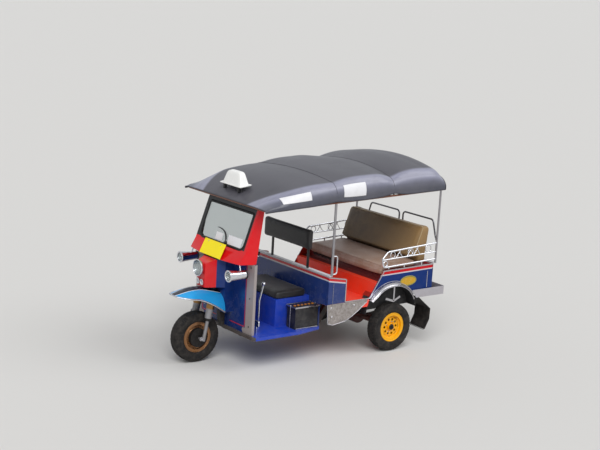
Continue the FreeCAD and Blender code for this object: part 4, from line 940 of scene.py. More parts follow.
@dataclass
class Tyre:
    """One tyre: rounded walls with two fine ribs, zigzag grooves and shoulder blocks."""

    node: str
    body: Body
    side: float
    axle_x: float
    zigzag: float
    blocks: float
    radius: float = 0.252
    seat: float = 0.1272
    half: float = 0.0672
    tread_half: float = 0.060
    tread_from: float = 0.236
    ribs: tuple[float, ...] = (0.172, 0.218)
    rib_height: float = 0.0012
    rib_width: float = 0.0015
    grooves: tuple[float, ...] = (-0.030, -0.010, 0.010, 0.030)
    groove_depth: float = 0.0065
    groove_width: float = 0.0032
    slot_share: float = 0.22
    slot_from: float = 0.037
    slot_depth: float = 0.8
    steps: int = 360

    def section(self) -> np.ndarray:
        """The closed outline (across, radius): bead, lip, wall, shoulder and a slightly domed tread."""
        wall = bent([(0.043, self.seat), (0.0445, 0.1465), (self.half - 0.004, 0.170),
                     (self.half, 0.205), (self.tread_half, 0.240)], [0, 0.010, 0.030, 0.060, 0])
        across = np.linspace(self.tread_half, 0.0, 34)[1:]
        dome = self.radius - 0.0115 * (across / self.tread_half) ** 2 - 0.0005
        half = np.vstack([evenly(wall, 22), np.stack([across, dome], axis=1)])
        return np.vstack([half, half[-2::-1] * np.array([-1.0, 1.0])])

    def tread(self, across: np.ndarray, turn: np.ndarray) -> np.ndarray:
        """Depth of the grooves: bell curves about zigzag lines, and slots between shoulder blocks."""
        phase = (turn * self.blocks / (2.0 * math.pi)) % 1.0
        wave = np.abs(phase - 0.5) * 4.0 - 1.0
        depth = np.zeros(np.broadcast(across, turn).shape)
        for line in self.grooves:
            bell = np.exp(-(((across - line - self.zigzag * wave) / self.groove_width) ** 4))
            depth = np.maximum(depth, bell)
        slot = (phase < self.slot_share) & (np.abs(across) > self.slot_from)
        return np.maximum(depth, self.slot_depth * slot)

    def build(self) -> None:
        """Turns the section about the axle, sinks the tread and dresses the tyre."""
        turn = around(self.steps)[:, None]
        across, height = self.section().T[:, None]
        on_tread = np.clip((height - self.tread_from) / 0.006, 0.0, 1.0)
        radius = height - self.groove_depth * on_tread * self.tread(across, turn)
        outward = np.sign(across)
        for rib in self.ribs:
            bulge = np.exp(-(((height - rib) / self.rib_width) ** 2)) * (1.0 - on_tread)
            across = across + outward * self.rib_height * bulge
        points = upright(self.axle_x, self.side * TRACK / 2.0 + across, self.radius, radius, turn)
        form = Form().grid(points, close_rows=True, close_columns=True)
        name = self.node.replace("_tyre", "_tread_tyre")
        tyre = form.piece(name, TYRE_RUBBER, "tyre", self.body, crease=50.0)
        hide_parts(self.node)


@dataclass
class WheelTrim:
    """Pressed rings, vents, brake drum, nuts, hub cap and valve on the outer side of one wheel."""

    name: str
    body: Body
    side: float
    axle_x: float
    rings: tuple[float, ...]
    ring_face: float
    nut_circle: float
    hub_reach: float
    ring_finish: Finish
    cap_finish: Finish
    slot: str
    outward: float = 1.0
    nuts: int = 4
    nut_turn: float = 0.4
    height: float = 0.252
    edge_roll: float = 0.0058
    edge_face: float = 0.0485
    edge_radius: float = 0.1485
    drum: float = 0.094
    slots: int = 0
    slot_radius: float = 0.109
    slot_half: float = 0.17

    def at(self, along: float) -> Triple:
        """A place on the axle, along metres outwards from the wheel's middle."""
        return self.axle_x, self.side * TRACK / 2.0 + self.outward * along, self.height

    def round_axle(self, along: float, radius: float, turn: np.ndarray) -> np.ndarray:
        """Places at a radius round the axle, at the angles of turn."""
        x, y, z = self.at(along)
        return upright(x, y, z, radius, turn)

    def make(self, form: Form, part: str, finish: Finish, bevel: float = 0.0) -> None:
        """Makes one piece of this wheel."""
        form.piece(f"{self.name}_{part}", finish, self.slot, self.body, bevel=bevel)

    def build(self) -> None:
        """Builds the pieces from the rim's face outwards, and the valve."""
        axis = (0.0, self.outward, 0.0)
        rings = Form()
        for radius in self.rings:
            turn = np.linspace(0.0, math.pi, 7)
            arc = np.stack([0.0035 * np.sin(turn), radius - 0.005 * np.cos(turn)], axis=1)
            rings.lathe(np.vstack([arc, [(-0.002, radius + 0.005), (-0.002, radius - 0.005)]]),
                        self.at(self.ring_face), axis, 96)
        rolled = circle(self.edge_roll, 14) + (self.edge_face, self.edge_radius)
        rings.lathe(rolled, self.at(0.0), axis, 96)
        self.make(rings, "pressed_rings", self.ring_finish)
        if self.slots:
            self.vents()
        drum = [(0.0, 0.0), (0.0, self.drum - 0.006), (-0.006, self.drum), (-0.040, self.drum),
                (-0.044, 0.0)]
        self.make(Form().lathe(drum, self.at(self.ring_face - 0.026), axis, 64), "brake_drum", DRUM_GREY)
        spots = self.round_axle(self.ring_face - 0.006, self.nut_circle, around(self.nuts) + self.nut_turn)
        nuts = Form().studs(spots, axis, 0.0085, 0.012).studs(spots, axis, 0.0045, 0.019, sides=10)
        self.make(nuts, "wheel_nuts", STEEL, 0.0006)
        cap = [(-0.004, 0.0), (-0.004, 0.030), (0.004, 0.030), (0.009, 0.026), (0.012, 0.018), (0.013, 0.0)]
        nut = [(0.010, 0.0), (0.010, 0.011), (0.022, 0.011), (0.024, 0.008), (0.024, 0.0)]
        hub = Form().lathe(cap, self.at(self.hub_reach), axis).lathe(nut, self.at(self.hub_reach), axis, 6)
        self.make(hub, "hub_cap", self.cap_finish, 0.0005)
        # The valve's stem leans out of the rim's well
        stem = self.at(0.020) + np.array([(-0.055, 0.0, 0.082), (-0.058, self.outward * 0.014, 0.086),
                                          (-0.062, self.outward * 0.030, 0.091)])
        self.make(Form().tube(evenly(stem, 6), 0.0032, 10), "valve", GASKET)

    def vents(self) -> None:
        """Dark curved tubes where the rim's disc meets its barrel: painted shade in place of the open
        vents.
        """
        form = Form()
        for middle in around(self.slots).tolist():
            turn = np.linspace(middle - self.slot_half, middle + self.slot_half, 16)
            form.tube(self.round_axle(self.ring_face + 0.001, self.slot_radius, turn), 0.0042, 10)
        self.make(form, "vents", DRUM_GREY)


# Steering

@dataclass
class ForkTrim:
    """Sleeves, seals and axle nuts on the fork."""

    leg_y: float = 0.116
    cover: float = 0.036
    sleeve_z: float = 0.548
    seal_z: float = 0.440
    axle_z: float = 0.252

    def on_leg(self, z: float, side: float) -> Triple:
        """A place on a leg's centre line at a height."""
        return FRONT_AXLE_X - 0.1 - (z - 0.6) * math.tan(RAKE), side * self.leg_y, z

    def build(self) -> None:
        """Builds the trims of both legs."""
        axis = (-math.sin(RAKE), 0.0, math.cos(RAKE))
        r = self.cover
        sleeve = [(0.0, r + 0.0005), (0.0, r + 0.003), (0.006, r + 0.0045), (0.034, r + 0.0035),
                  (0.040, r + 0.005), (0.046, r + 0.003), (0.046, r + 0.0005)]
        seal = [(-0.012, 0.0185), (-0.012, r - 0.006), (0.0, r + 0.002), (0.012, r + 0.002),
                (0.014, r + 0.0005), (0.0, 0.0185)]
        nut = [(-0.004, 0.0), (-0.004, 0.021), (0.001, 0.021), (0.001, 0.015), (0.014, 0.014),
               (0.014, 0.009), (0.018, 0.008), (0.018, 0.0)]
        sleeves, seals, nuts = Form(), Form(), Form()
        for side in (1.0, -1.0):
            sleeves.lathe(sleeve, self.on_leg(self.sleeve_z, side), axis)
            seals.lathe(seal, self.on_leg(self.seal_z, side), axis)
            nuts.lathe(nut, (FRONT_AXLE_X, side * (self.leg_y + 0.009), self.axle_z), (0.0, side, 0.0), 6)
        sleeves.piece("fork_brass_sleeves", BRASS, "fork_steel", Body.STEERING)
        seals.piece("fork_seals", GASKET, "fork_steel", Body.STEERING)
        nuts.piece("front_axle_nuts", STEEL, "fork_steel", Body.STEERING, bevel=0.0006)


@dataclass
class BarTrim:
    """Ribbed rubber grips with their collars, and the two hand levers."""

    ribs: int = 9
    grip: float = 0.0172
    rib_height: float = 0.0014
    clamp_back: float = 0.035
    lever: float = 0.0058

    def build(self) -> None:
        """Builds a grip along the bar's outer end, and a lever that runs in front of it."""
        low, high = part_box("handlebar")
        tip = np.array([low[0] + 0.008, high[1] - 0.013, 1.0885])
        inner = np.array([tip[0] + 0.074, tip[1] - 0.058, 1.0995])
        axis = unit(tip - inner)
        length = float(np.linalg.norm(tip - inner))
        along = np.linspace(0.0, length, self.ribs * 6)
        wave = self.grip + self.rib_height * np.sin(along / length * math.pi * 2.0 * self.ribs)
        profile = np.vstack([[(0.0, 0.0)], np.stack([along, wave], axis=1), [(length, 0.0)]])
        collar = [(0.0, 0.0), (0.0, 0.021), (0.006, 0.021), (0.008, 0.017), (0.008, 0.0)]
        grips = Form().lathe(profile, inner, axis).lathe(collar, inner - axis * 0.008, axis)
        grips.mirrored().piece("handlebar_grips", GASKET, "bar_black", Body.STEERING)
        start = inner - axis * self.clamp_back
        path = bent([start, start + (0.022, 0.008, -0.010), inner + (0.024, 0.026, -0.022),
                     tip + (0.022, 0.018, -0.026)], 0.012)
        clamp = [(-0.011, 0.0), (-0.011, 0.0165), (0.011, 0.0165), (0.011, 0.0)]
        levers = Form().sweep(evenly(path, 40), circle(self.lever, 10, 0.6)).lathe(clamp, start, axis)
        levers.mirrored().piece("hand_levers", STEEL, "bar_black", Body.STEERING)


# Front of the cab

@dataclass
class GuardTrim:
    """Bright bead and flat strip along the front guard's edge, through stations of x, half width, z."""

    stations: tuple[Triple, ...] = (
        (0.9760, 0.180, 0.512), (1.10, 0.182, 0.590), (1.24, 0.176, 0.655), (1.37, 0.150, 0.676),
        (1.468, 0.060, 0.690))
    bead: float = 0.0060
    strip: float = 0.0085
    strip_up: float = 0.007
    strip_out: float = 0.0012

    def build(self) -> None:
        """Follows the guard's lower edge on both sides and round the tip."""
        rows = np.array(self.stations)
        x = np.linspace(rows[0, 0], rows[-1, 0], 50)
        left = np.column_stack([x, through(rows[:, 0], rows[:, 1:], x)])
        path = np.vstack([left, left[::-1] * np.array([1.0, -1.0, 1.0])])
        out = np.sign(path[:, 1:2]) * np.array([[0.0, self.strip_out, 0.0]])
        form = Form().tube(path, self.bead)
        form.sweep(path + (0.0, 0.0, self.strip_up) + out, circle(self.strip, 10, 0.35)[:, ::-1])
        form.piece("guard_bead", CHROME, "guard_blue")


@dataclass
class Screen:
    """What surrounds the windscreen: rubber gasket, blank cards behind the glass, and the wiper."""

    foot: tuple[float, float] = (0.938, 1.162)
    head: tuple[float, float] = (0.818, 1.510)
    half: float = 0.375
    gasket: float = 0.0125
    cards: tuple[tuple[float, float, float, float], ...] = (
        (-0.118, -0.004, 0.022, 0.094), (0.091, 0.322, 0.012, 0.102))

    def point(self, y: Any, up: Any, out: float) -> np.ndarray:
        """Places in the screen's plane: foot + up * slope + out * normal."""
        slope = unit(np.array(self.head) - np.array(self.foot))
        x = self.foot[0] + slope[0] * up + slope[1] * out
        z = self.foot[1] + slope[1] * up - slope[0] * out
        return places(x, y, z)

    def build(self) -> None:
        """Builds the gasket, the cards and the wiper."""
        length = math.dist(self.foot, self.head)
        y = np.array([self.half, self.half, -self.half, -self.half])
        up = np.array([0.0, length, length, 0.0])
        ring = bent(self.point(y, up, 0.006), [0.06, 0.02, 0.02, 0.06], closed=True, steps=12)
        Form().sweep(ring, circle(self.gasket, 12, 0.5)[:, ::-1], closed=True).piece(
            "screen_gasket", GASKET, "screen_glass")
        normal = self.point(0.0, 0.0, 1.0) - self.point(0.0, 0.0, 0.0)
        cards = Form()
        for y0, y1, u0, u1 in self.cards:
            corners = self.point(np.array([y0, y1, y1, y0]), np.array([u0, u0, u1, u1]), 0.0014)
            cards.slab(bent(corners, 0.004, closed=True), normal * 0.0006)
        cards.piece("screen_cards", PATCH_WHITE, "sign_white")
        arm = self.wiper_line(0.0, 1.0, 0.016)
        cap = [(-0.016, 0.0), (-0.016, 0.014), (0.004, 0.013), (0.009, 0.008), (0.009, 0.0)]
        Form().sweep(arm, circle(0.0052, 10, 0.7)).lathe(cap, arm[0], normal).piece(
            "wiper_arm", LINING, "screen_glass")
        blade = self.wiper_line(0.18, 0.98, 0.0075)
        Form().sweep(blade, circle(0.0058, 8, 0.9)).piece("wiper_blade", GASKET, "screen_glass")

    def wiper_line(self, first: float, last: float, out: float) -> np.ndarray:
        """A part of the wiper's line, which bows from its spindle to the right."""
        share = np.linspace(first, last, 30)
        return self.point(0.086 - 0.062 * share - 0.125 * share ** 3,
                          0.016 + 0.125 * np.sin(share * 1.45), out)


@dataclass
class CabTrim:
    """Pinstripes and bolts of the leg shield, the plate's rim, and what dresses lamps and horns."""

    shield_x: float = 0.874
    stripe: float = 0.008
    plate_foot: tuple[float, float] = (1.0683, 1.046)
    plate_head: tuple[float, float] = (1.0003, 1.185)
    plate_half: float = 0.173
    bullet: Triple = (0.934, 0.43, 0.945)
    horn: Triple = (1.166, 0.034, 0.8)
    glasses: tuple[tuple[float, float, float, float], ...] = (
        (1.2, 0.0, 0.94, 0.082), (1.131, 0.43, 0.945, 0.05), (1.131, -0.43, 0.945, 0.05))

    def build(self) -> None:
        """Builds the pinstripes, the bolts, the plate's rim and the lamps' rings."""
        x = self.shield_x + 0.0004
        line = bent([(x, 0.371, 1.036), (x, 0.371, 0.402), (x, 0.120, 0.402)], 0.012)
        Form().sweep(line, flat_bar(0.0012, self.stripe)).mirrored().piece(
            "shield_pinstripes", STRIPE_RED, "cowl_red")
        spots = [(self.shield_x + 0.0034, y, z) for y in (0.445, -0.445) for z in (1.005, 0.700, 0.420)]
        Form().studs(spots, (1.0, 0.0, 0.0), 0.007, 0.005, 10).piece("band_bolts", LINING, "tread_plate")
        self.plate()
        self.lamps()

    def plate(self) -> None:
        """The plate's pressed rim and its two bolts."""
        foot, head = np.array(self.plate_foot), np.array(self.plate_head)
        slope = unit(head - foot)
        normal = np.array([slope[1], -slope[0]])
        low, high = foot + slope * 0.006 + normal * 0.0005, head - slope * 0.006 + normal * 0.0005
        half = self.plate_half
        ring = np.array([(low[0], half, low[1]), (high[0], half, high[1]), (high[0], -half, high[1]),
                         (low[0], -half, low[1])])
        Form().sweep(bent(ring, 0.012, closed=True), circle(0.0026, 8, 0.6), closed=True).piece(
            "plate_rim", PLATE_YELLOW, "plate_yellow")
        middle = (foot + head) / 2.0 + slope * 0.058 + normal * 0.001
        spots = [(middle[0], y, middle[1]) for y in (-0.105, 0.105)]
        Form().studs(spots, (normal[0], 0.0, normal[1]), 0.006, 0.004).piece(
            "plate_bolts", STEEL, "plate_yellow")

    def lamps(self) -> None:
        """Rims round the lamp glasses, the bullet lamps' bells and rubber rings, the horns' grilles."""
        ahead = (1.0, 0.0, 0.0)
        rims, rings, grilles = Form(), Form(), Form()
        for x, y, z, radius in self.glasses:
            rims.lathe(circle(0.004, 14, 1.25) + (0.0, radius - 0.003), (x, y, z), ahead, 64)
        bell = [(0.0, 0.030), (0.0, 0.0385), (0.030, 0.0425), (0.110, 0.0475), (0.175, 0.0535),
                (0.192, 0.0575), (0.197, 0.0580), (0.199, 0.0555), (0.198, 0.0490)]
        for side in (1.0, -1.0):
            lamp = np.array(self.bullet) * (1.0, side, 1.0)
            rings.lathe(circle(0.0035, 12, 1.3943) + (0.0, 0.04209), lamp, ahead, 48)
            rims.lathe(bell, lamp, ahead, 64)
            x, y, z = self.horn
            for radius in (0.008, 0.016, 0.024):
                ring = circle(radius, 32)
                grilles.tube(places(x, side * y + ring[:, 0], z + ring[:, 1]), 0.0016, 8, closed=True)
        rims.piece("lamp_rims", CHROME, "bright_chrome")
        rings.piece("lamp_tail_rings", GASKET, "bright_chrome")
        grilles.piece("horn_grilles", STEEL, "bright_chrome")


# Roof

def lifted(points: np.ndarray, distance: float) -> np.ndarray:
    """A grid of points moved along its normal, the cross product of its two slopes."""
    normal = unit(np.cross(np.gradient(points, axis=1), np.gradient(points, axis=0)))
    normal *= np.sign(normal[..., 2:].mean())
    return points + normal * distance


@dataclass
class Canopy:
    """The tarpaulin roof: one curved sheet that bags between its bows and is drawn in over them.

    Stations hold: share of the length, then height of the hem, shoulder and middle over the rail,
    and the shoulder's half width. Folds hold: the share at which they start, how far they reach and
    how many waves they have. Patches hold their first and last share, and high and low edge.
    """

    front: float = 0.928
    rear: float = -1.353
    rail_front: float = 1.600
    rail_rear: float = 1.672
    half: float = 0.700
    hem: float = 0.034
    wall: float = 0.003
    bulge: float = 0.17
    hem_share: float = 0.05
    shoulder_share: float = 0.34
    bay_rows: int = 56
    columns: int = 151
    creases: tuple[float, ...] = (0.0, 0.369, 0.692, 1.0)
    stations: tuple[tuple[float, ...], ...] = (
        (0.000, -0.012, 0.012, 0.014, 0.385), (0.035, -0.010, 0.054, 0.062, 0.440),
        (0.150, -0.006, 0.146, 0.172, 0.582), (0.275, 0.000, 0.182, 0.220, 0.606),
        (0.369, 0.018, 0.188, 0.232, 0.626), (0.440, 0.006, 0.216, 0.250, 0.618),
        (0.530, 0.002, 0.226, 0.258, 0.618), (0.640, 0.012, 0.214, 0.262, 0.624),
        (0.692, 0.026, 0.176, 0.258, 0.624), (0.755, 0.008, 0.216, 0.276, 0.622),
        (0.880, 0.002, 0.232, 0.298, 0.622), (0.960, 0.000, 0.198, 0.280, 0.622),
        (1.000, 0.000, 0.124, 0.226, 0.604))
    folds: tuple[Triple, ...] = ((0.369, 0.05, 46.0), (0.692, 0.045, 52.0), (0.13, 0.06, 30.0))
    fold_height: float = 0.0024
    # Where across the section the colour runs from the top to the shoulder's painted highlight and the
    # hem's painted shade
    valance: tuple[tuple[float, ...], tuple[float, ...]] = (
        (0.63, 0.67, 0.76, 0.86, 0.95, 1.0), (0.0, 0.5, 0.4, 0.85, 1.0, 1.0))
    stickers: tuple[tuple[float, ...], ...] = ((0.085, 0.245, 0.765, 0.915), (0.400, 0.535, 0.745, 0.955))

    def sizes(self, share: np.ndarray) -> np.ndarray:
        """The stations' values at each share, smooth inside a bay and creased at its bows."""
        rows = np.array(self.stations)
        values = np.empty((len(share), rows.shape[1] - 1))
        for first, last in zip(self.creases[:-1], self.creases[1:]):
            bay = rows[(rows[:, 0] >= first) & (rows[:, 0] <= last)]
            inside = (share >= first) & (share <= last)
            values[inside] = through(bay[:, 0], bay[:, 1:], share[inside])
        return values

    def point(self, share: np.ndarray, over: np.ndarray) -> np.ndarray:
        """Places on the sheet; over runs from -1 at the right hem through 0 to 1 at the left hem.

        Half a section is an upright hem, then a wall that bows out by 4 t (1 - t) of its bulge, then
        a crown whose height falls with the square of the distance from the middle. Fine folds fan
        out from the bows: a sine whose height falls as a bell with the distance from the bow.

        Args:
            share: shares of the length, from the front.
            over: shares of half a section, to both sides.

        Returns:
            A grid of points, one row for each share.
        """
        low, shoulder, middle, reach = (column[:, None] for column in self.sizes(share).T)
        share, over = share[:, None], over[None, :]
        inward = 1.0 - np.abs(over)
        drop = np.minimum(self.hem, 0.7 * (shoulder - low))
        edge = low + drop
        on_hem = np.clip(inward / self.hem_share, 0.0, 1.0)
        t = np.clip((inward - self.hem_share) / (self.shoulder_share - self.hem_share), 0.0, 1.0)
        c = np.clip((inward - self.shoulder_share) / (1.0 - self.shoulder_share), 0.0, 1.0)
        tall = np.clip((shoulder - edge) / 0.15, 0.0, 1.0)
        bow = 4.0 * t * (1.0 - t)
        y = self.half + (reach - self.half) * t + self.bulge * (shoulder - edge) * bow
        y = y * (1.0 - c)
        z = low + drop * on_hem + (shoulder - edge) * t + self.bulge * (self.half - reach) * tall * bow
        z = z + (middle - shoulder) * (1.0 - (1.0 - c) ** 2)
        for crease, span, waves in self.folds:
            bell = np.exp(-(((share - crease) / span) ** 2))
            side = np.clip(1.3 - inward * 2.0, 0.0, 1.0)
            z = z + self.fold_height * bell * side * np.sin(waves * over + 9.0 * share)
        # Three rounds of smoothing across the sheet
        for values in (y, z) * 3:
            values[:, 1:-1] = 0.25 * values[:, :-2] + 0.5 * values[:, 1:-1] + 0.25 * values[:, 2:]
        rail = self.rail_front + (self.rail_rear - self.rail_front) * share
        return places(self.front + (self.rear - self.front) * share, y * np.sign(over), z + rail)

    def grid(self) -> tuple[np.ndarray, np.ndarray, np.ndarray]:
        """Shares with a place at each bow, overs, and the sheet's points."""
        bays = [np.linspace(first, last, self.bay_rows + 1)[:-1]
                for first, last in zip(self.creases[:-1], self.creases[1:])]
        share = np.concatenate([*bays, [1.0]])
        over = np.linspace(-1.0, 1.0, self.columns)
        return share, over, self.point(share, over)

    def sheet(self) -> None:
        """Makes the sheet with its valance attribute and gives it a wall."""
        share, over, points = self.grid()
        roof = Form().grid(points).piece("roof_tarpaulin", ROOF_CLOTH, "roof_vinyl", crease=60.0)
        side = np.interp(np.abs(over), *self.valance)
        side = np.broadcast_to(side, (len(share), len(over))).astype(np.float32)
        valance = roof.data.attributes.new("valance", "FLOAT", "POINT")
        valance.data.foreach_set("value", side.ravel())
        up = np.zeros(len(roof.data.polygons) * 3)
        roof.data.polygons.foreach_get("normal", up)
        if up.reshape(-1, 3)[:, 2].sum() < 0.0:
            roof.data.flip_normals()
        thicken(roof, self.wall, -1.0)
        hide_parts("roof_canopy")

    def seams(self) -> None:
        """Welted seams over the two inner bows, and the rope in the hem."""
        points = self.grid()[2]
        raised = lifted(points, 0.0012)
        form, hem = Form(), Form()
        for line in (self.bay_rows, 2 * self.bay_rows):
            form.tube(raised[line, 9:-9], 0.0016, 8)
        form.piece("roof_seams", SEAM_GREY, "roof_vinyl")
        for path in (points[:, 0], points[:, -1], points[0], points[-1]):
            hem.tube(path, 0.0048, 10)
        hem.piece("roof_hem", SEAM_GREY, "roof_vinyl")

    def patches(self) -> None:
        """Blank white patches on the left valance, cut from grids that reach 20 mm past them."""
        form = Form()
        for first, last, high, low in self.stickers:
            grid = self.point(np.linspace(first, last, 40), np.linspace(high - 0.02, low + 0.02, 30))
            form.grid(lifted(grid, 0.0022)[2:-2, 4:-4])
        patch = form.piece("roof_patches", PATCH_WHITE, "sign_white")
        thicken(patch, 0.001, 0.0)

    def build(self) -> None:
        """Builds the roof's sheet, seams and patches."""
        self.sheet()
        self.seams()
        self.patches()


@dataclass
class RoofSign:
    """A blank white box sign: a moulded cover with soft edges on a flange with two feet."""

    front: float = 0.864
    low: float = 1.732
    tilt: float = 0.134
    half: float = 0.181
    depth: float = 0.134
    height: float = 0.127
    flange: float = 0.0065
    squareness: float = 0.30
    foot_y: float = 0.12

    def tilted(self, points: np.ndarray) -> np.ndarray:
        """Raises points towards the rear by the roof's slope."""
        return points + places(0.0, 0.0, (self.front - points[..., 0]) * self.tilt)

    def build(self) -> None:
        """Rings are superellipses; their size shrinks as (1 - h ** 9) ** (1 / 9) to a soft top."""
        turn = around(72)[None]
        rise = np.sin(np.linspace(0.0, math.pi / 2.0, 30))[:, None]
        close = np.maximum((1.0 - rise ** 9) ** (1.0 / 9.0), 0.03)
        across, ahead = (np.sign(wave) * np.abs(wave) ** self.squareness
                         for wave in (np.sin(turn), np.cos(turn)))
        x = self.front - self.depth / 2.0 + (0.058 - 0.026 * rise) * close * ahead
        z = self.low + self.flange + (self.height - self.flange) * rise
        cover = self.tilted(places(x, (0.158 - 0.052 * rise) * close * across, z))
        form = Form().grid(cover, close_columns=True, caps=True)
        back = self.front - self.depth
        corners = [(self.front, self.half, self.low), (back, self.half, self.low),
                   (back, -self.half, self.low), (self.front, -self.half, self.low)]
        form.slab(self.tilted(bent(corners, 0.012, closed=True)), (0.0, 0.0, self.flange))
        sign = form.piece("sign_cover", SIGN_WHITE, "sign_white", crease=40.0)
        feet = Form()
        for y in (-self.foot_y, self.foot_y):
            feet.box((self.front - 0.040, y - 0.012, self.low - 0.052),
                     (self.front - 0.012, y + 0.012, self.low + 0.004))
            feet.studs([(self.front - 0.012, y, self.low - 0.022)], (1.0, 0.0, 0.0), 0.006, 0.004)
        bracket = feet.piece("sign_feet", LINING, "sign_white", bevel=0.001)
        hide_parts("roof_sign")
        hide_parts("roof_sign")


# Seats

@dataclass
class Pad:
    """A padded cushion: a rounded block that swells as cloth under pressure.

    Its outline lies in the XZ plane and is carried along Y; near the ends it shrinks as
    (1 - |y / half| ** power) ** (1 / power), which closes them with soft edges.
    """

    name: str
    finish: Finish
    slot: str
    outline: tuple[tuple[float, float], ...]
    radii: tuple[float, ...]
    half: float
    node: str
    swell: float = 0.016
    voxel: float = 0.011
    fill: float = 0.8
    power: float = 16.0
    floor_z: float = -1.0
    pressure: float = 4.0
    steps: int = 20

    def block(self) -> np.ndarray:
        """Rows along Y of the outline, smaller towards both ends."""
        line = bent(self.outline, self.radii, closed=True)
        line = evenly(np.vstack([line, line[:1]]), 91)[:-1]
        middle = line.mean(0)
        y = self.half * np.sin(np.linspace(-1.0, 1.0, 61) * math.pi / 2.0)
        size = (1.0 - np.abs(y / self.half) ** self.power) ** (1.0 / self.power)
        flat = middle + (line - middle)[None] * np.maximum(size, 0.02)[:, None, None]
        return places(flat[..., 0], y[:, None], flat[..., 1])

    def build(self) -> bpy.types.Object:
        """Returns:
            The finished pad.
        """
        form = Form().grid(self.block(), close_columns=True, caps=True)
        pad = form.piece(self.name, self.finish, self.slot, crease=180.0)
        remesh = pad.modifiers.new("even", "REMESH")
        remesh.mode = "VOXEL"
        remesh.voxel_size = self.voxel
        settle(pad)
        self.inflate(pad)
        smooth = pad.modifiers.new("smooth", "SUBSURF")
        smooth.levels = 1
        smooth.render_levels = 1
        settle(pad)
        soften(pad.data, 180.0)
        dress(pad, self.finish)
        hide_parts(self.node)
        return pad

    def inflate(self, pad: bpy.types.Object) -> None:
        """Runs the cloth under pressure, keeps each point within swell and none under floor_z."""
        start = points_of(pad)
        cloth = pad.modifiers.new("cloth", "CLOTH")
        cloth.settings.use_pressure = True
        cloth.settings.uniform_pressure_force = self.pressure
        cloth.settings.effector_weights.gravity = 0.0
        cloth.settings.quality = 4
        cloth.point_cache.frame_start = 1
        cloth.point_cache.frame_end = self.steps
        scene = bpy.context.scene
        for step in range(1, self.steps + 1):
            scene.frame_set(step)
        settle(pad)
        scene.frame_set(1)
        move = points_of(pad) - start
        length = np.linalg.norm(move, axis=1, keepdims=True)
        place = start + move * np.minimum(1.0, self.swell / np.maximum(length, 1e-9))
        below = start[:, 2] < self.floor_z - 1e-4
        place[:, 2] = np.maximum(place[:, 2], np.minimum(start[:, 2], self.floor_z))
        place[below, 0] = np.maximum(place[below, 0], start[below, 0])
        pad.data.vertices.foreach_set("co", place.ravel())
        pad.data.update()


def hugged(path: np.ndarray, target: bpy.types.Object, offset: float) -> np.ndarray:
    """Draws a path onto the nearest surface of a target, offset metres outside it.

    Args:
        path: the path's points.
        target: the object to lie on.
        offset: the distance outside its surface.

    Returns:
        The drawn path's points.
    """
    mesh = bpy.data.meshes.new("line")
    mesh.from_pydata(path.tolist(), [], [])
    line = linked("line", mesh)
    wrap = line.modifiers.new("wrap", "SHRINKWRAP")
    wrap.target = target
    wrap.wrap_method = "NEAREST_SURFACEPOINT"
    wrap.wrap_mode = "ABOVE_SURFACE"
    wrap.offset = offset
    settle(line)
    drawn = points_of(line)
    bpy.data.objects.remove(line)
    return drawn


@dataclass
class Seats:
    """Passenger bench and driver's seat with their piping and feet."""

    bench_half: float = 0.604
    riser_z: float = 0.8625
    piping_off: float = 0.002
    feet_y: float = 0.3

    def bench(self) -> None:
        """The bench cushion with a rolled front and the leaning backrest, both piped."""
        z = self.riser_z
        cushion = Pad("bench_cushion_pad", CUSHION_VINYL, "bench_vinyl",
                      ((-1.124, z), (-0.662, z), (-0.661, 0.802), (-0.634, 0.804), (-0.630, 0.904),
                       (-1.124, 0.920)),
                      (0.012, 0.0, 0.010, 0.014, 0.034, 0.02), self.bench_half, "bench_cushion",
                      swell=0.010, floor_z=z).build()
        path = places(-0.645, np.linspace(-0.585, 0.585, 80), 0.914)
        Form().tube(hugged(path, cushion, self.piping_off), 0.0045, 10).piece(
            "bench_cushion_piping", CUSHION_VINYL, "bench_vinyl")
        back = Pad("bench_backrest_pad", BENCH_VINYL, "bench_vinyl",
                   ((-1.058, 0.934), (-1.182, 1.276), (-1.282, 1.276), (-1.236, 0.880),
                    (-1.136, 0.880), (-1.134, 0.934)),
                   (0.018, 0.030, 0.028, 0.012, 0.008, 0.004), self.bench_half,
                   "bench_backrest", swell=0.012).build()
        ring = bent([(-1.060, 0.592, 0.960), (-1.188, 0.592, 1.268), (-1.188, -0.592, 1.268),
                     (-1.060, -0.592, 0.960)], 0.022)
        Form().tube(hugged(evenly(ring, 200), back, self.piping_off), 0.005, 10).piece(
            "bench_backrest_piping", PIPING, "bench_vinyl")

    def driver(self) -> None:
        """The driver's cushion, and the backrest on its two flat steel feet."""
        Pad("driver_cushion_pad", DRIVER_VINYL, "driver_vinyl",
            ((0.112, 0.6215), (0.492, 0.6215), (0.490, 0.690), (0.112, 0.692)),
            (0.012, 0.014, 0.028, 0.016), 0.353, "driver_cushion", swell=0.010,
            floor_z=0.6205).build()
        Pad("driver_backrest_pad", DRIVER_VINYL, "driver_vinyl",
            ((0.096, 1.092), (0.146, 1.092), (0.146, 1.302), (0.096, 1.302)),
            (0.012, 0.022, 0.022, 0.012), 0.392, "driver_backrest", swell=0.008).build()
        form = Form()
        for y in (-self.feet_y, self.feet_y):
            form.box((0.079, y - 0.015, 0.8945), (0.090, y + 0.015, 1.205))
            form.studs([(0.078, y, z) for z in (1.12, 1.18)], (-1.0, 0.0, 0.0), 0.008, 0.006)
        form.piece("driver_backrest_feet", FRAME_BLACK, "driver_vinyl", bevel=0.001)

    def build(self) -> None:
        """Builds all the seats."""
        self.bench()
        self.driver()


# Body

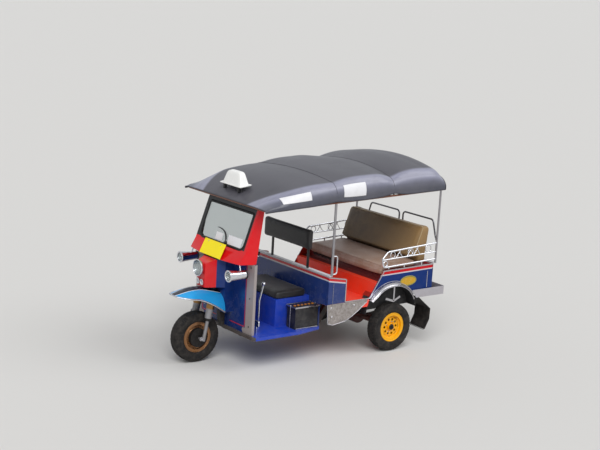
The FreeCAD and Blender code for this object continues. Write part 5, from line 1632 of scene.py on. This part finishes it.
@dataclass
class BodyTrim:
    """Bright strips round the doorway, arch flares and liners, badges and brackets of both sides.

    Every trim is built on the left and mirrored.
    """

    face: float = BODY_HALF + 0.0012
    strip: float = 0.011
    arch_x: float = -0.749
    arch_z: float = 0.391
    arch_radius: float = 0.3455
    line_radius: float = 0.360
    liner_inner: float = 0.532
    liner_outer: float = 0.6635
    liner_wall: float = 0.0025
    badge_x: float = -0.96
    badge_z: float = 0.735
    bracket_y: float = 0.640

    def build(self) -> None:
        """Builds the strips, then the other trims."""
        flat = flat_bar(0.003, self.strip)
        y = self.face
        door = bent([(0.088, y, 0.875), (-0.130, y, 0.836), (-0.130, y, 0.606), (-0.449, y, 0.606),
                     (-0.622, y, 0.868), (-1.290, y, 0.880)], [0, 0.018, 0.006, 0.006, 0.010, 0])
        form = Form().sweep(door, flat)
        form.sweep([(-1.222, y, 0.813), (-1.222, y, 0.640)], flat * (1.0, 0.7))
        form.sweep([(0.030, y, 0.812), (0.030, y, 0.606)], flat * (1.0, 0.4))
        turn = np.linspace(math.radians(37.0), math.radians(112.0), 60)
        form.sweep(self.arc(y, self.line_radius, turn), flat * (1.0, 0.6))
        form.mirrored().piece("body_strips", STEEL, "trim_steel")
        self.flares()
        self.liners()
        self.badges()
        self.brackets()

    def arc(self, y: Any, radius: Any, turn: np.ndarray) -> np.ndarray:
        """Places round the wheel arch's middle."""
        return upright(self.arch_x, y, self.arch_z, radius, turn)

    def flares(self) -> None:
        """A bright lip that flares out round the wheel.

        Its section runs inwards and outwards by a quarter sine and ends in a bead; both its sizes
        shrink towards the rear.
        """
        turn = np.linspace(math.radians(33.0), math.radians(156.0), 90)[:, None]
        t = np.linspace(0.0, 1.0, 12)[None]
        share = np.interp(turn, np.radians([33.0, 45.0, 95.0, 150.0]), [0.7, 1.0, 0.85, 0.25])
        radius = self.arch_radius - 0.042 * share * np.sin(t * math.pi / 2.0)
        out = BODY_HALF + 0.001 + 0.026 * share * (1.0 - np.cos(t * math.pi / 2.0))
        sheet = self.arc(out, radius, turn)
        back = sheet - (0.0, 0.002, 0.0)
        form = Form().grid(sheet).grid(back[:, ::-1])
        for edge, other in ((sheet[:, 0], back[:, 0]), (sheet[0], back[0]), (sheet[-1], back[-1])):
            form.grid(np.stack([edge, other]))
        form.tube(sheet[:, -1] - (0.0, 0.001, 0.0), 0.0034, 10)
        form.tube(sheet[:, 0] + (0.0, 0.0005, 0.0), 0.0034, 10)
        form.mirrored().piece("arch_flares", STEEL, "trim_steel")

    def liners(self) -> None:
        """A black ring inside each arch, closed by a wall on its inner side."""
        wall = self.liner_wall
        inside = self.arch_radius - 0.006
        across = np.array([self.liner_inner, self.liner_outer, self.liner_outer, self.liner_inner])
        turn = np.linspace(math.radians(8.0), math.radians(170.0), 70)
        ring = self.arc(across[None], inside + np.array([0.0, 0.0, wall, wall])[None], turn[:, None])
        form = Form().grid(ring, close_columns=True, caps=True)
        form.slab(self.arc(self.liner_inner + wall, inside, turn), (0.0, -wall, 0.0))
        form.mirrored().piece("arch_liners", LINING, "flap_rubber")

    def badges(self) -> None:
        """A blank oval badge with a raised rim: x = a cos t, z = b sin t."""
        y = BODY_HALF + 0.0003
        oval = circle(0.098, 72, 0.040 / 0.098) + (self.badge_x, self.badge_z)
        Form().slab(places(oval[:, 0], y, oval[:, 1]), (0.0, 0.003, 0.0)).mirrored().piece(
            "badge_fields", GOLD, "plate_yellow")
        rim = circle(0.105, 72, 0.047 / 0.105) + (self.badge_x, self.badge_z)
        Form().sweep(places(rim[:, 0], y + 0.0015, rim[:, 1]), circle(0.007, 10, 0.4)[:, ::-1],
                     closed=True).mirrored().piece("badge_rims", GOLD_RIM, "plate_yellow")

    def brackets(self) -> None:
        """The flat silver V bracket under each arch."""
        y = self.bracket_y
        plate = flat_bar(0.003, 0.022)
        form = Form()
        form.sweep([(-0.690, y, 0.566), (-0.800, y, 0.530), (-0.885, y, 0.570)], plate)
        form.sweep([(-0.800, y, 0.533), (-0.800, y, 0.722)], plate * (1.0, 0.8))
        form.mirrored().piece("arch_brackets", STEEL, "trim_steel")


@dataclass
class SkirtTrim:
    """Raised bars of the tread plate, the beaded edge and the fasteners on both skirts."""

    outline: tuple[tuple[float, float], ...] = (
        (0.093, 0.598), (0.076, 0.399), (0.005, 0.384), (-0.146, 0.406), (-0.233, 0.447),
        (-0.332, 0.513), (-0.419, 0.576))
    radii: tuple[float, ...] = (0.0, 0.012, 0.02, 0.06, 0.06, 0.06, 0.0)
    pitch: float = 0.022
    bar: Triple = (0.0075, 0.0022, 0.0012)
    margin: float = 0.012
    lean: float = 0.785

    def bars(self) -> Form:
        """Short six-pointed bars on a square grid, which lean one way and the other in turn."""
        line = np.array(self.outline)
        x, z = np.meshgrid(np.arange(-0.43, 0.09, self.pitch), np.arange(0.39, 0.60, self.pitch))
        x, z = x.ravel(), z.ravel()
        order = np.argsort(line[:, 0])
        edge = np.interp(x, line[order, 0], line[order, 1])
        keep = (z > edge + self.margin) & (z < 0.592) & (x < 0.076)
        x, z = x[keep], z[keep]
        even = (np.round(x / self.pitch) + np.round(z / self.pitch)) % 2 < 1
        lean = np.where(even, self.lean, -self.lean)[:, None]
        shape = np.array([(-1.0, 0.0, 0.0), (0.0, -1.0, 0.0), (1.0, 0.0, 0.0), (0.0, 1.0, 0.0),
                          (-0.5, 0.0, 1.0), (0.5, 0.0, 1.0)])
        along, aside, up = (shape * self.bar).T
        points = places(x[:, None] + np.cos(lean) * along - np.sin(lean) * aside, BODY_HALF + up,
                        z[:, None] + np.sin(lean) * along + np.cos(lean) * aside)
        faces = [(0, 1, 5, 4), (1, 2, 5), (2, 3, 4, 5), (3, 0, 4)]
        form = Form()
        form.points.append(points.reshape(-1, 3))
        form.faces += [[6 * bar + corner for corner in face] for bar in range(len(x)) for face in faces]
        form.count += 6 * len(x)
        return form

    def build(self) -> None:
        """Lays the bars over the plate, runs a bead along its edge and sets the fasteners."""
        self.bars().mirrored().piece("tread_bars", TREAD_PLATE, "tread_plate")
        line = np.array(self.outline)
        path = bent(places(line[:, 0], BODY_HALF + 0.001, line[:, 1]), self.radii)
        Form().tube(evenly(path, 120), 0.0042).mirrored().piece("skirt_beads", STEEL, "tread_plate")
        spots = [(x, BODY_HALF, z) for x, z in ((0.030, 0.470), (0.045, 0.560), (-0.250, 0.560))]
        Form().studs(spots, (0.0, 1.0, 0.0), 0.010, 0.006, 12).mirrored().piece(
            "skirt_bolts", CHROME, "tread_plate")


@dataclass
class RearTrim:
    """Ribbed mat on the bumper's tray, teeth under the flaps, and glasses of the tail lamps."""

    mat_half: float = 0.668
    rib_pitch: float = 0.012
    tooth_pitch: float = 0.0195
    lamp_x: float = -1.3405
    lamp_y: float = 0.480
    lamps_z: tuple[float, float] = (0.790, 0.700)
    glass: float = 0.031

    def build(self) -> None:
        """Builds the mat, the teeth and the lamps."""
        mat = Form().box((-1.460, -self.mat_half, 0.5495), (-1.328, self.mat_half, 0.5535))
        for x in np.arange(-1.452, -1.334, self.rib_pitch).tolist():
            mat.box((x, -self.mat_half + 0.004, 0.5534), (x + 0.005, self.mat_half - 0.004, 0.5565))
        mat.piece("bumper_tray_mat", FLAP_RUBBER, "flap_rubber")
        self.teeth()
        turn = np.linspace(0.0, math.pi / 2, 8)
        dome = np.stack([0.010 * np.sin(turn), self.glass * np.cos(turn)], axis=1)
        dome = np.vstack([dome, [(-0.001, 0.0), (-0.001, self.glass)]])
        bezel = circle(0.005, 12) + (0.0, self.glass + 0.003)
        lenses, bezels = Form(), Form()
        for side in (1.0, -1.0):
            for z in self.lamps_z:
                centre = (self.lamp_x, side * self.lamp_y, z)
                lenses.lathe(dome, centre, (-1.0, 0.0, 0.0))
                bezels.lathe(bezel, centre, (-1.0, 0.0, 0.0), 64)
        lenses.piece("tail_lamp_lenses", TAIL_RED, "tail_red")
        bezels.piece("tail_lamp_bezels", CHROME, "tail_red")

    def teeth(self) -> None:
        """A fringe of rubber teeth under each flap, along the flap's own slope."""
        edge, slope = np.array([-1.2325, 0.0, 0.1865]), np.array([0.468, 0.0, -0.884])
        across = np.array([0.0, 1.0, 0.0])
        form = Form()
        for y in np.arange(0.462, 0.672, self.tooth_pitch).tolist():
            root = edge + across * y
            tooth = np.array([root, root + across * 0.012, root + across * 0.009 + slope * 0.016,
                              root + across * 0.003 + slope * 0.016])
            form.slab(tooth, (0.0026, 0.0, 0.0014))
        form.mirrored().piece("flap_teeth", FLAP_RUBBER, "flap_rubber")


@dataclass
class RiserOrnament:
    """Scroll work on the right half of the bench's base: flat spirals, black with gold bosses."""

    face: float = -0.6635
    low: float = 0.766
    high: float = 0.856
    first: float = -0.56
    last: float = -0.24
    count: int = 5
    scroll: float = 0.030

    def build(self) -> None:
        """Each spiral's radius falls in proportion to its angle, and neighbours turn opposite ways."""
        pitch = (self.last - self.first) / self.count
        middle = (self.low + self.high) / 2.0
        turn = np.linspace(0.0, 3.5 * math.pi, 90)
        radius = self.scroll * (1.0 - turn / (4.2 * math.pi))
        scrolls, bosses = Form(), Form()
        for index in range(self.count):
            way = 1.0 if index % 2 else -1.0
            y = self.first + (index + 0.5) * pitch
            for lift in (-0.020, 0.022):
                scrolls.tube(places(self.face, y + way * radius * np.cos(turn),
                                    middle + lift + radius * np.sin(turn) * 0.7), 0.0030, 8)
            bosses.studs([(self.face, y, middle), (self.face, y + pitch / 2.0, middle + 0.034)],
                         (1.0, 0.0, 0.0), 0.0075, 0.005, 12)
        scrolls.piece("riser_scrolls", LINING, "deck_orange")
        bosses.piece("riser_bosses", GOLD, "deck_orange")


@dataclass
class BatteryTrim:
    """Clamp bars, tie rods and filler caps of the battery."""

    caps: int = 6
    cap_inset: float = 0.035
    cap_y: float = 0.085

    def build(self) -> None:
        """Builds the clamps round the case and the caps along its top."""
        (x0, y0, z0), (x1, y1, z1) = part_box("battery")
        clamps = Form()
        for y in (y0 - 0.004, y1 + 0.004):
            clamps.box((x0 - 0.006, y - 0.003, z1 - 0.012), (x1 + 0.006, y + 0.003, z1 + 0.003))
            clamps.box((x0 + 0.010, y - 0.002, z0 + 0.0005), (x1 - 0.010, y + 0.002, z0 + 0.012))
        for x in (x0 - 0.004, x1 + 0.004):
            clamps.box((x - 0.003, y0 - 0.006, z1 - 0.010), (x + 0.003, y1 + 0.006, z1 + 0.002))
        y = (y0 + y1) / 2.0
        for x in (x0 - 0.008, x1 + 0.008):
            rod = np.array([(x, y, z0 + 0.001), (x, y, z1 + 0.012)])
            clamps.tube(evenly(rod, 4), 0.0035, 10)
            clamps.studs([(x, y, z1 + 0.002)], (0.0, 0.0, 1.0), 0.008, 0.007)
        clamps.piece("battery_clamps", STEEL, "battery_black", bevel=0.0008)
        cap = [(0.0, 0.0), (0.0, 0.014), (0.006, 0.014), (0.009, 0.011), (0.009, 0.0)]
        caps = Form()
        for x in np.linspace(x0 + self.cap_inset, x1 - self.cap_inset, self.caps).tolist():
            caps.lathe(cap, (x, y0 + self.cap_y, z1 - 0.001), (0.0, 0.0, 1.0), 14)
        caps.piece("battery_caps", CAP_AMBER, "battery_black")


@dataclass
class Finishes:
    """Which finish each carried-over solid gets."""

    nodes: dict[str, bpy.types.Object]

    def build(self) -> None:
        """Dresses every node of the frame."""
        chosen: dict[str, Finish] = {
            "chassis_frame": FRAME_BLACK, "rear_axle": AXLE_MAROON, "engine_block": ENGINE_GREY,
            "exhaust": FRAME_BLACK, "driver_floor": FLOOR_BLUE, "passenger_floor": DECK_ORANGE,
            "seat_riser": RISER_RED_AND_SHADE, "partition_panel": WING_BLUE,
            "side_panel_left": SIDE_BLUE, "side_panel_right": SIDE_BLUE, "rear_panel": BACK_BLUE,
            "arch_trims": STEEL, "sill_skirts": TREAD_PLATE, "rear_bumper": BUMPER_GREY,
            "mud_flaps": FLAP_RUBBER, "tail_lamps": TAIL_RED, "leg_shield": BODY_BLUE,
            "shield_edge_trims": BAND_GREY, "nose_cowl": COWL_RED, "front_lamps": CHROME,
            "lamp_lenses": LENS, "windscreen_surround": SURROUND_RED, "windscreen_glass": SCREEN,
            "front_mudguard": GUARD_BLUE, "front_plate": PLATE_YELLOW, "battery": BATTERY_BLACK,
            "driver_controls": CHROME, "roof_frame": ROOF_TUBE, "roof_posts": POST_STEEL,
            "roof_sign": SIGN_WHITE, "side_rails": CHROME, "rear_rails": RAIL_BLACK,
            "fork": FORK_GREY, "handlebar": LINING, "front_rim": RIM_BRONZE,
            "rear_left_rim": RIM_YELLOW, "rear_right_rim": RIM_YELLOW,
            "driver_cushion": DRIVER_VINYL, "driver_backrest": DRIVER_VINYL,
            "bench_cushion": CUSHION_VINYL, "bench_backrest": BENCH_VINYL,
            "roof_canopy": ROOF_CLOTH, "front_tyre": TYRE_RUBBER, "rear_left_tyre": TYRE_RUBBER,
            "rear_right_tyre": TYRE_RUBBER,
        }
        for node, obj in self.nodes.items():
            dress(obj, chosen[node])


# Studio

@dataclass
class Studio:
    """Pale floor, soft lights and the camera at the photograph's angle.

    Suns hold: name, the direction that they shine from, and strength.
    """

    place: Triple = (7.8571, 10.1589, 3.9407)
    yaw: float = math.radians(37.8016)
    pitch: float = math.radians(11.7641)
    roll: float = math.radians(-3.3637)
    focal: float = 1288.587
    width: float = 600.0
    sensor: float = 36.0
    floor_half: float = 600.0
    floor_colour: str = "#d3d2d0"
    backdrop: str = "#d6dade"
    sky: float = 0.5
    softness: float = math.radians(40.0)
    suns: tuple[tuple[str, Triple, float], ...] = (
        ("key", (0.55, 0.72, 0.95), 1.9), ("fill", (-0.55, 0.42, 0.72), 0.9))

    def pose(self, name: str, data: bpy.types.ID, axes: Sequence[np.ndarray],
             place: Numbers = (0.0, 0.0, 0.0)) -> bpy.types.Object:
        """Puts a camera or lamp into the scene; its axes point right, up and back."""
        obj = linked(name, data)
        matrix = np.eye(4)
        matrix[:3, :3] = np.stack(axes, axis=1)
        matrix[:3, 3] = place
        obj.matrix_world = Matrix(matrix.tolist())
        return obj

    def camera(self) -> None:
        """Looks along yaw and pitch and turns by roll; the lens comes from the focal length in pixels."""
        ahead = np.array([-math.sin(self.yaw) * math.cos(self.pitch),
                          -math.cos(self.yaw) * math.cos(self.pitch), -math.sin(self.pitch)])
        right = unit(np.cross(ahead, (0.0, 0.0, 1.0)))
        down = np.cross(ahead, right)
        turned = math.cos(self.roll) * right + math.sin(self.roll) * down
        under = -math.sin(self.roll) * right + math.cos(self.roll) * down
        data = bpy.data.cameras.new("camera")
        data.sensor_width = self.sensor
        data.lens = self.focal * self.sensor / self.width
        data.clip_end = 200.0
        bpy.context.scene.camera = self.pose("camera", data, (turned, -under, -ahead), self.place)

    def sun(self, name: str, place: Numbers, strength: float) -> None:
        """A wide soft sun that shines from a direction."""
        data = bpy.data.lights.new(name, "SUN")
        data.angle = self.softness
        data.energy = strength
        back = unit(np.array(place))
        right = unit(np.cross((0.0, 0.0, 1.0), back))
        self.pose(name, data, (right, np.cross(back, right), back))

    def ground(self) -> None:
        """A wide pale floor whose edge is out of sight."""
        mesh = bpy.data.meshes.new("floor")
        size = self.floor_half
        mesh.from_pydata([(-size, -size, 0.0), (size, -size, 0.0), (size, size, 0.0),
                          (-size, size, 0.0)], [], [(0, 1, 2, 3)])
        floor = linked("floor", mesh)
        shader = Shader("studio_floor", Roughness=0.85)
        shader.surface.inputs["Base Color"].default_value = linear(self.floor_colour)
        floor.data.materials.append(shader.material)

    def world(self) -> None:
        """Even white surroundings; camera, glossy and clear rays see a pale grey backdrop."""
        world = bpy.data.worlds.new("studio")
        world.use_nodes = True
        bpy.context.scene.world = world
        tree = world.node_tree
        tree.nodes.clear()
        rays = tree.nodes.new("ShaderNodeLightPath").outputs
        seen: Socket = rays["Is Camera Ray"]
        for kind in ("Is Glossy Ray", "Is Transmission Ray"):
            either = tree.nodes.new("ShaderNodeMath")
            either.operation = "MAXIMUM"
            tree.links.new(seen, either.inputs[0])
            tree.links.new(rays[kind], either.inputs[1])
            seen = either.outputs[0]
        light = tree.nodes.new("ShaderNodeBackground")
        light.inputs["Strength"].default_value = self.sky
        backdrop = tree.nodes.new("ShaderNodeBackground")
        backdrop.inputs["Color"].default_value = linear(self.backdrop)
        mix = tree.nodes.new("ShaderNodeMixShader")
        for index, output in enumerate((seen, light.outputs[0], backdrop.outputs[0])):
            tree.links.new(output, mix.inputs[index])
        out = tree.nodes.new("ShaderNodeOutputWorld")
        tree.links.new(mix.outputs[0], out.inputs[0])

    def build(self) -> None:
        """Sets up floor, world, lamps, camera and colour management."""
        self.ground()
        self.world()
        for name, place, strength in self.suns:
            self.sun(name, place, strength)
        self.camera()
        bpy.context.scene.view_settings.view_transform = "Standard"


def wheels() -> list[Tyre | WheelTrim]:
    """The three tyres and the trims of both rear wheels and of the front wheel's two faces."""
    parts: list[Tyre | WheelTrim] = [
        Tyre("front_tyre", Body.FRONT_WHEEL, 0.0, FRONT_AXLE_X, zigzag=0.0022, blocks=40.0),
        Tyre("rear_left_tyre", Body.REAR_LEFT, 1.0, REAR_AXLE_X, zigzag=0.0035, blocks=48.0),
        Tyre("rear_right_tyre", Body.REAR_RIGHT, -1.0, REAR_AXLE_X, zigzag=0.0035, blocks=48.0)]
    for name, body, side in (("rear_left", Body.REAR_LEFT, 1.0), ("rear_right", Body.REAR_RIGHT, -1.0)):
        parts.append(WheelTrim(
            name, body, side, REAR_AXLE_X, rings=(0.048, 0.102), ring_face=0.0155, nut_circle=0.0545,
            hub_reach=0.041, ring_finish=RIM_YELLOW, cap_finish=GASKET, slot="rear_rim_yellow",
            outward=side, slots=8))
    for name, outward, face in (("front_near", 1.0, 0.0215), ("front_far", -1.0, -0.012)):
        parts.append(WheelTrim(name, Body.FRONT_WHEEL, 0.0, FRONT_AXLE_X, rings=(0.098,), ring_face=face,
            nut_circle=0.053, hub_reach=0.0485, ring_finish=RIM_BRONZE, cap_finish=STEEL,
            slot="front_rim_bronze", outward=outward))
    return parts


def main() -> None:
    """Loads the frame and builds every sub-assembly in order."""
    logging.basicConfig(level=logging.INFO, format="%(message)s")
    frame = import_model()
    for part in (Finishes(nodes=frame["nodes"]), Studio(), *wheels(), ForkTrim(), BarTrim(), GuardTrim(),
                 Screen(), CabTrim(), Canopy(), RoofSign(), Seats(), BodyTrim(), SkirtTrim(),
                 RearTrim(), RiserOrnament(), BatteryTrim()):
        part.build()


if __name__ == "__main__":
    main()
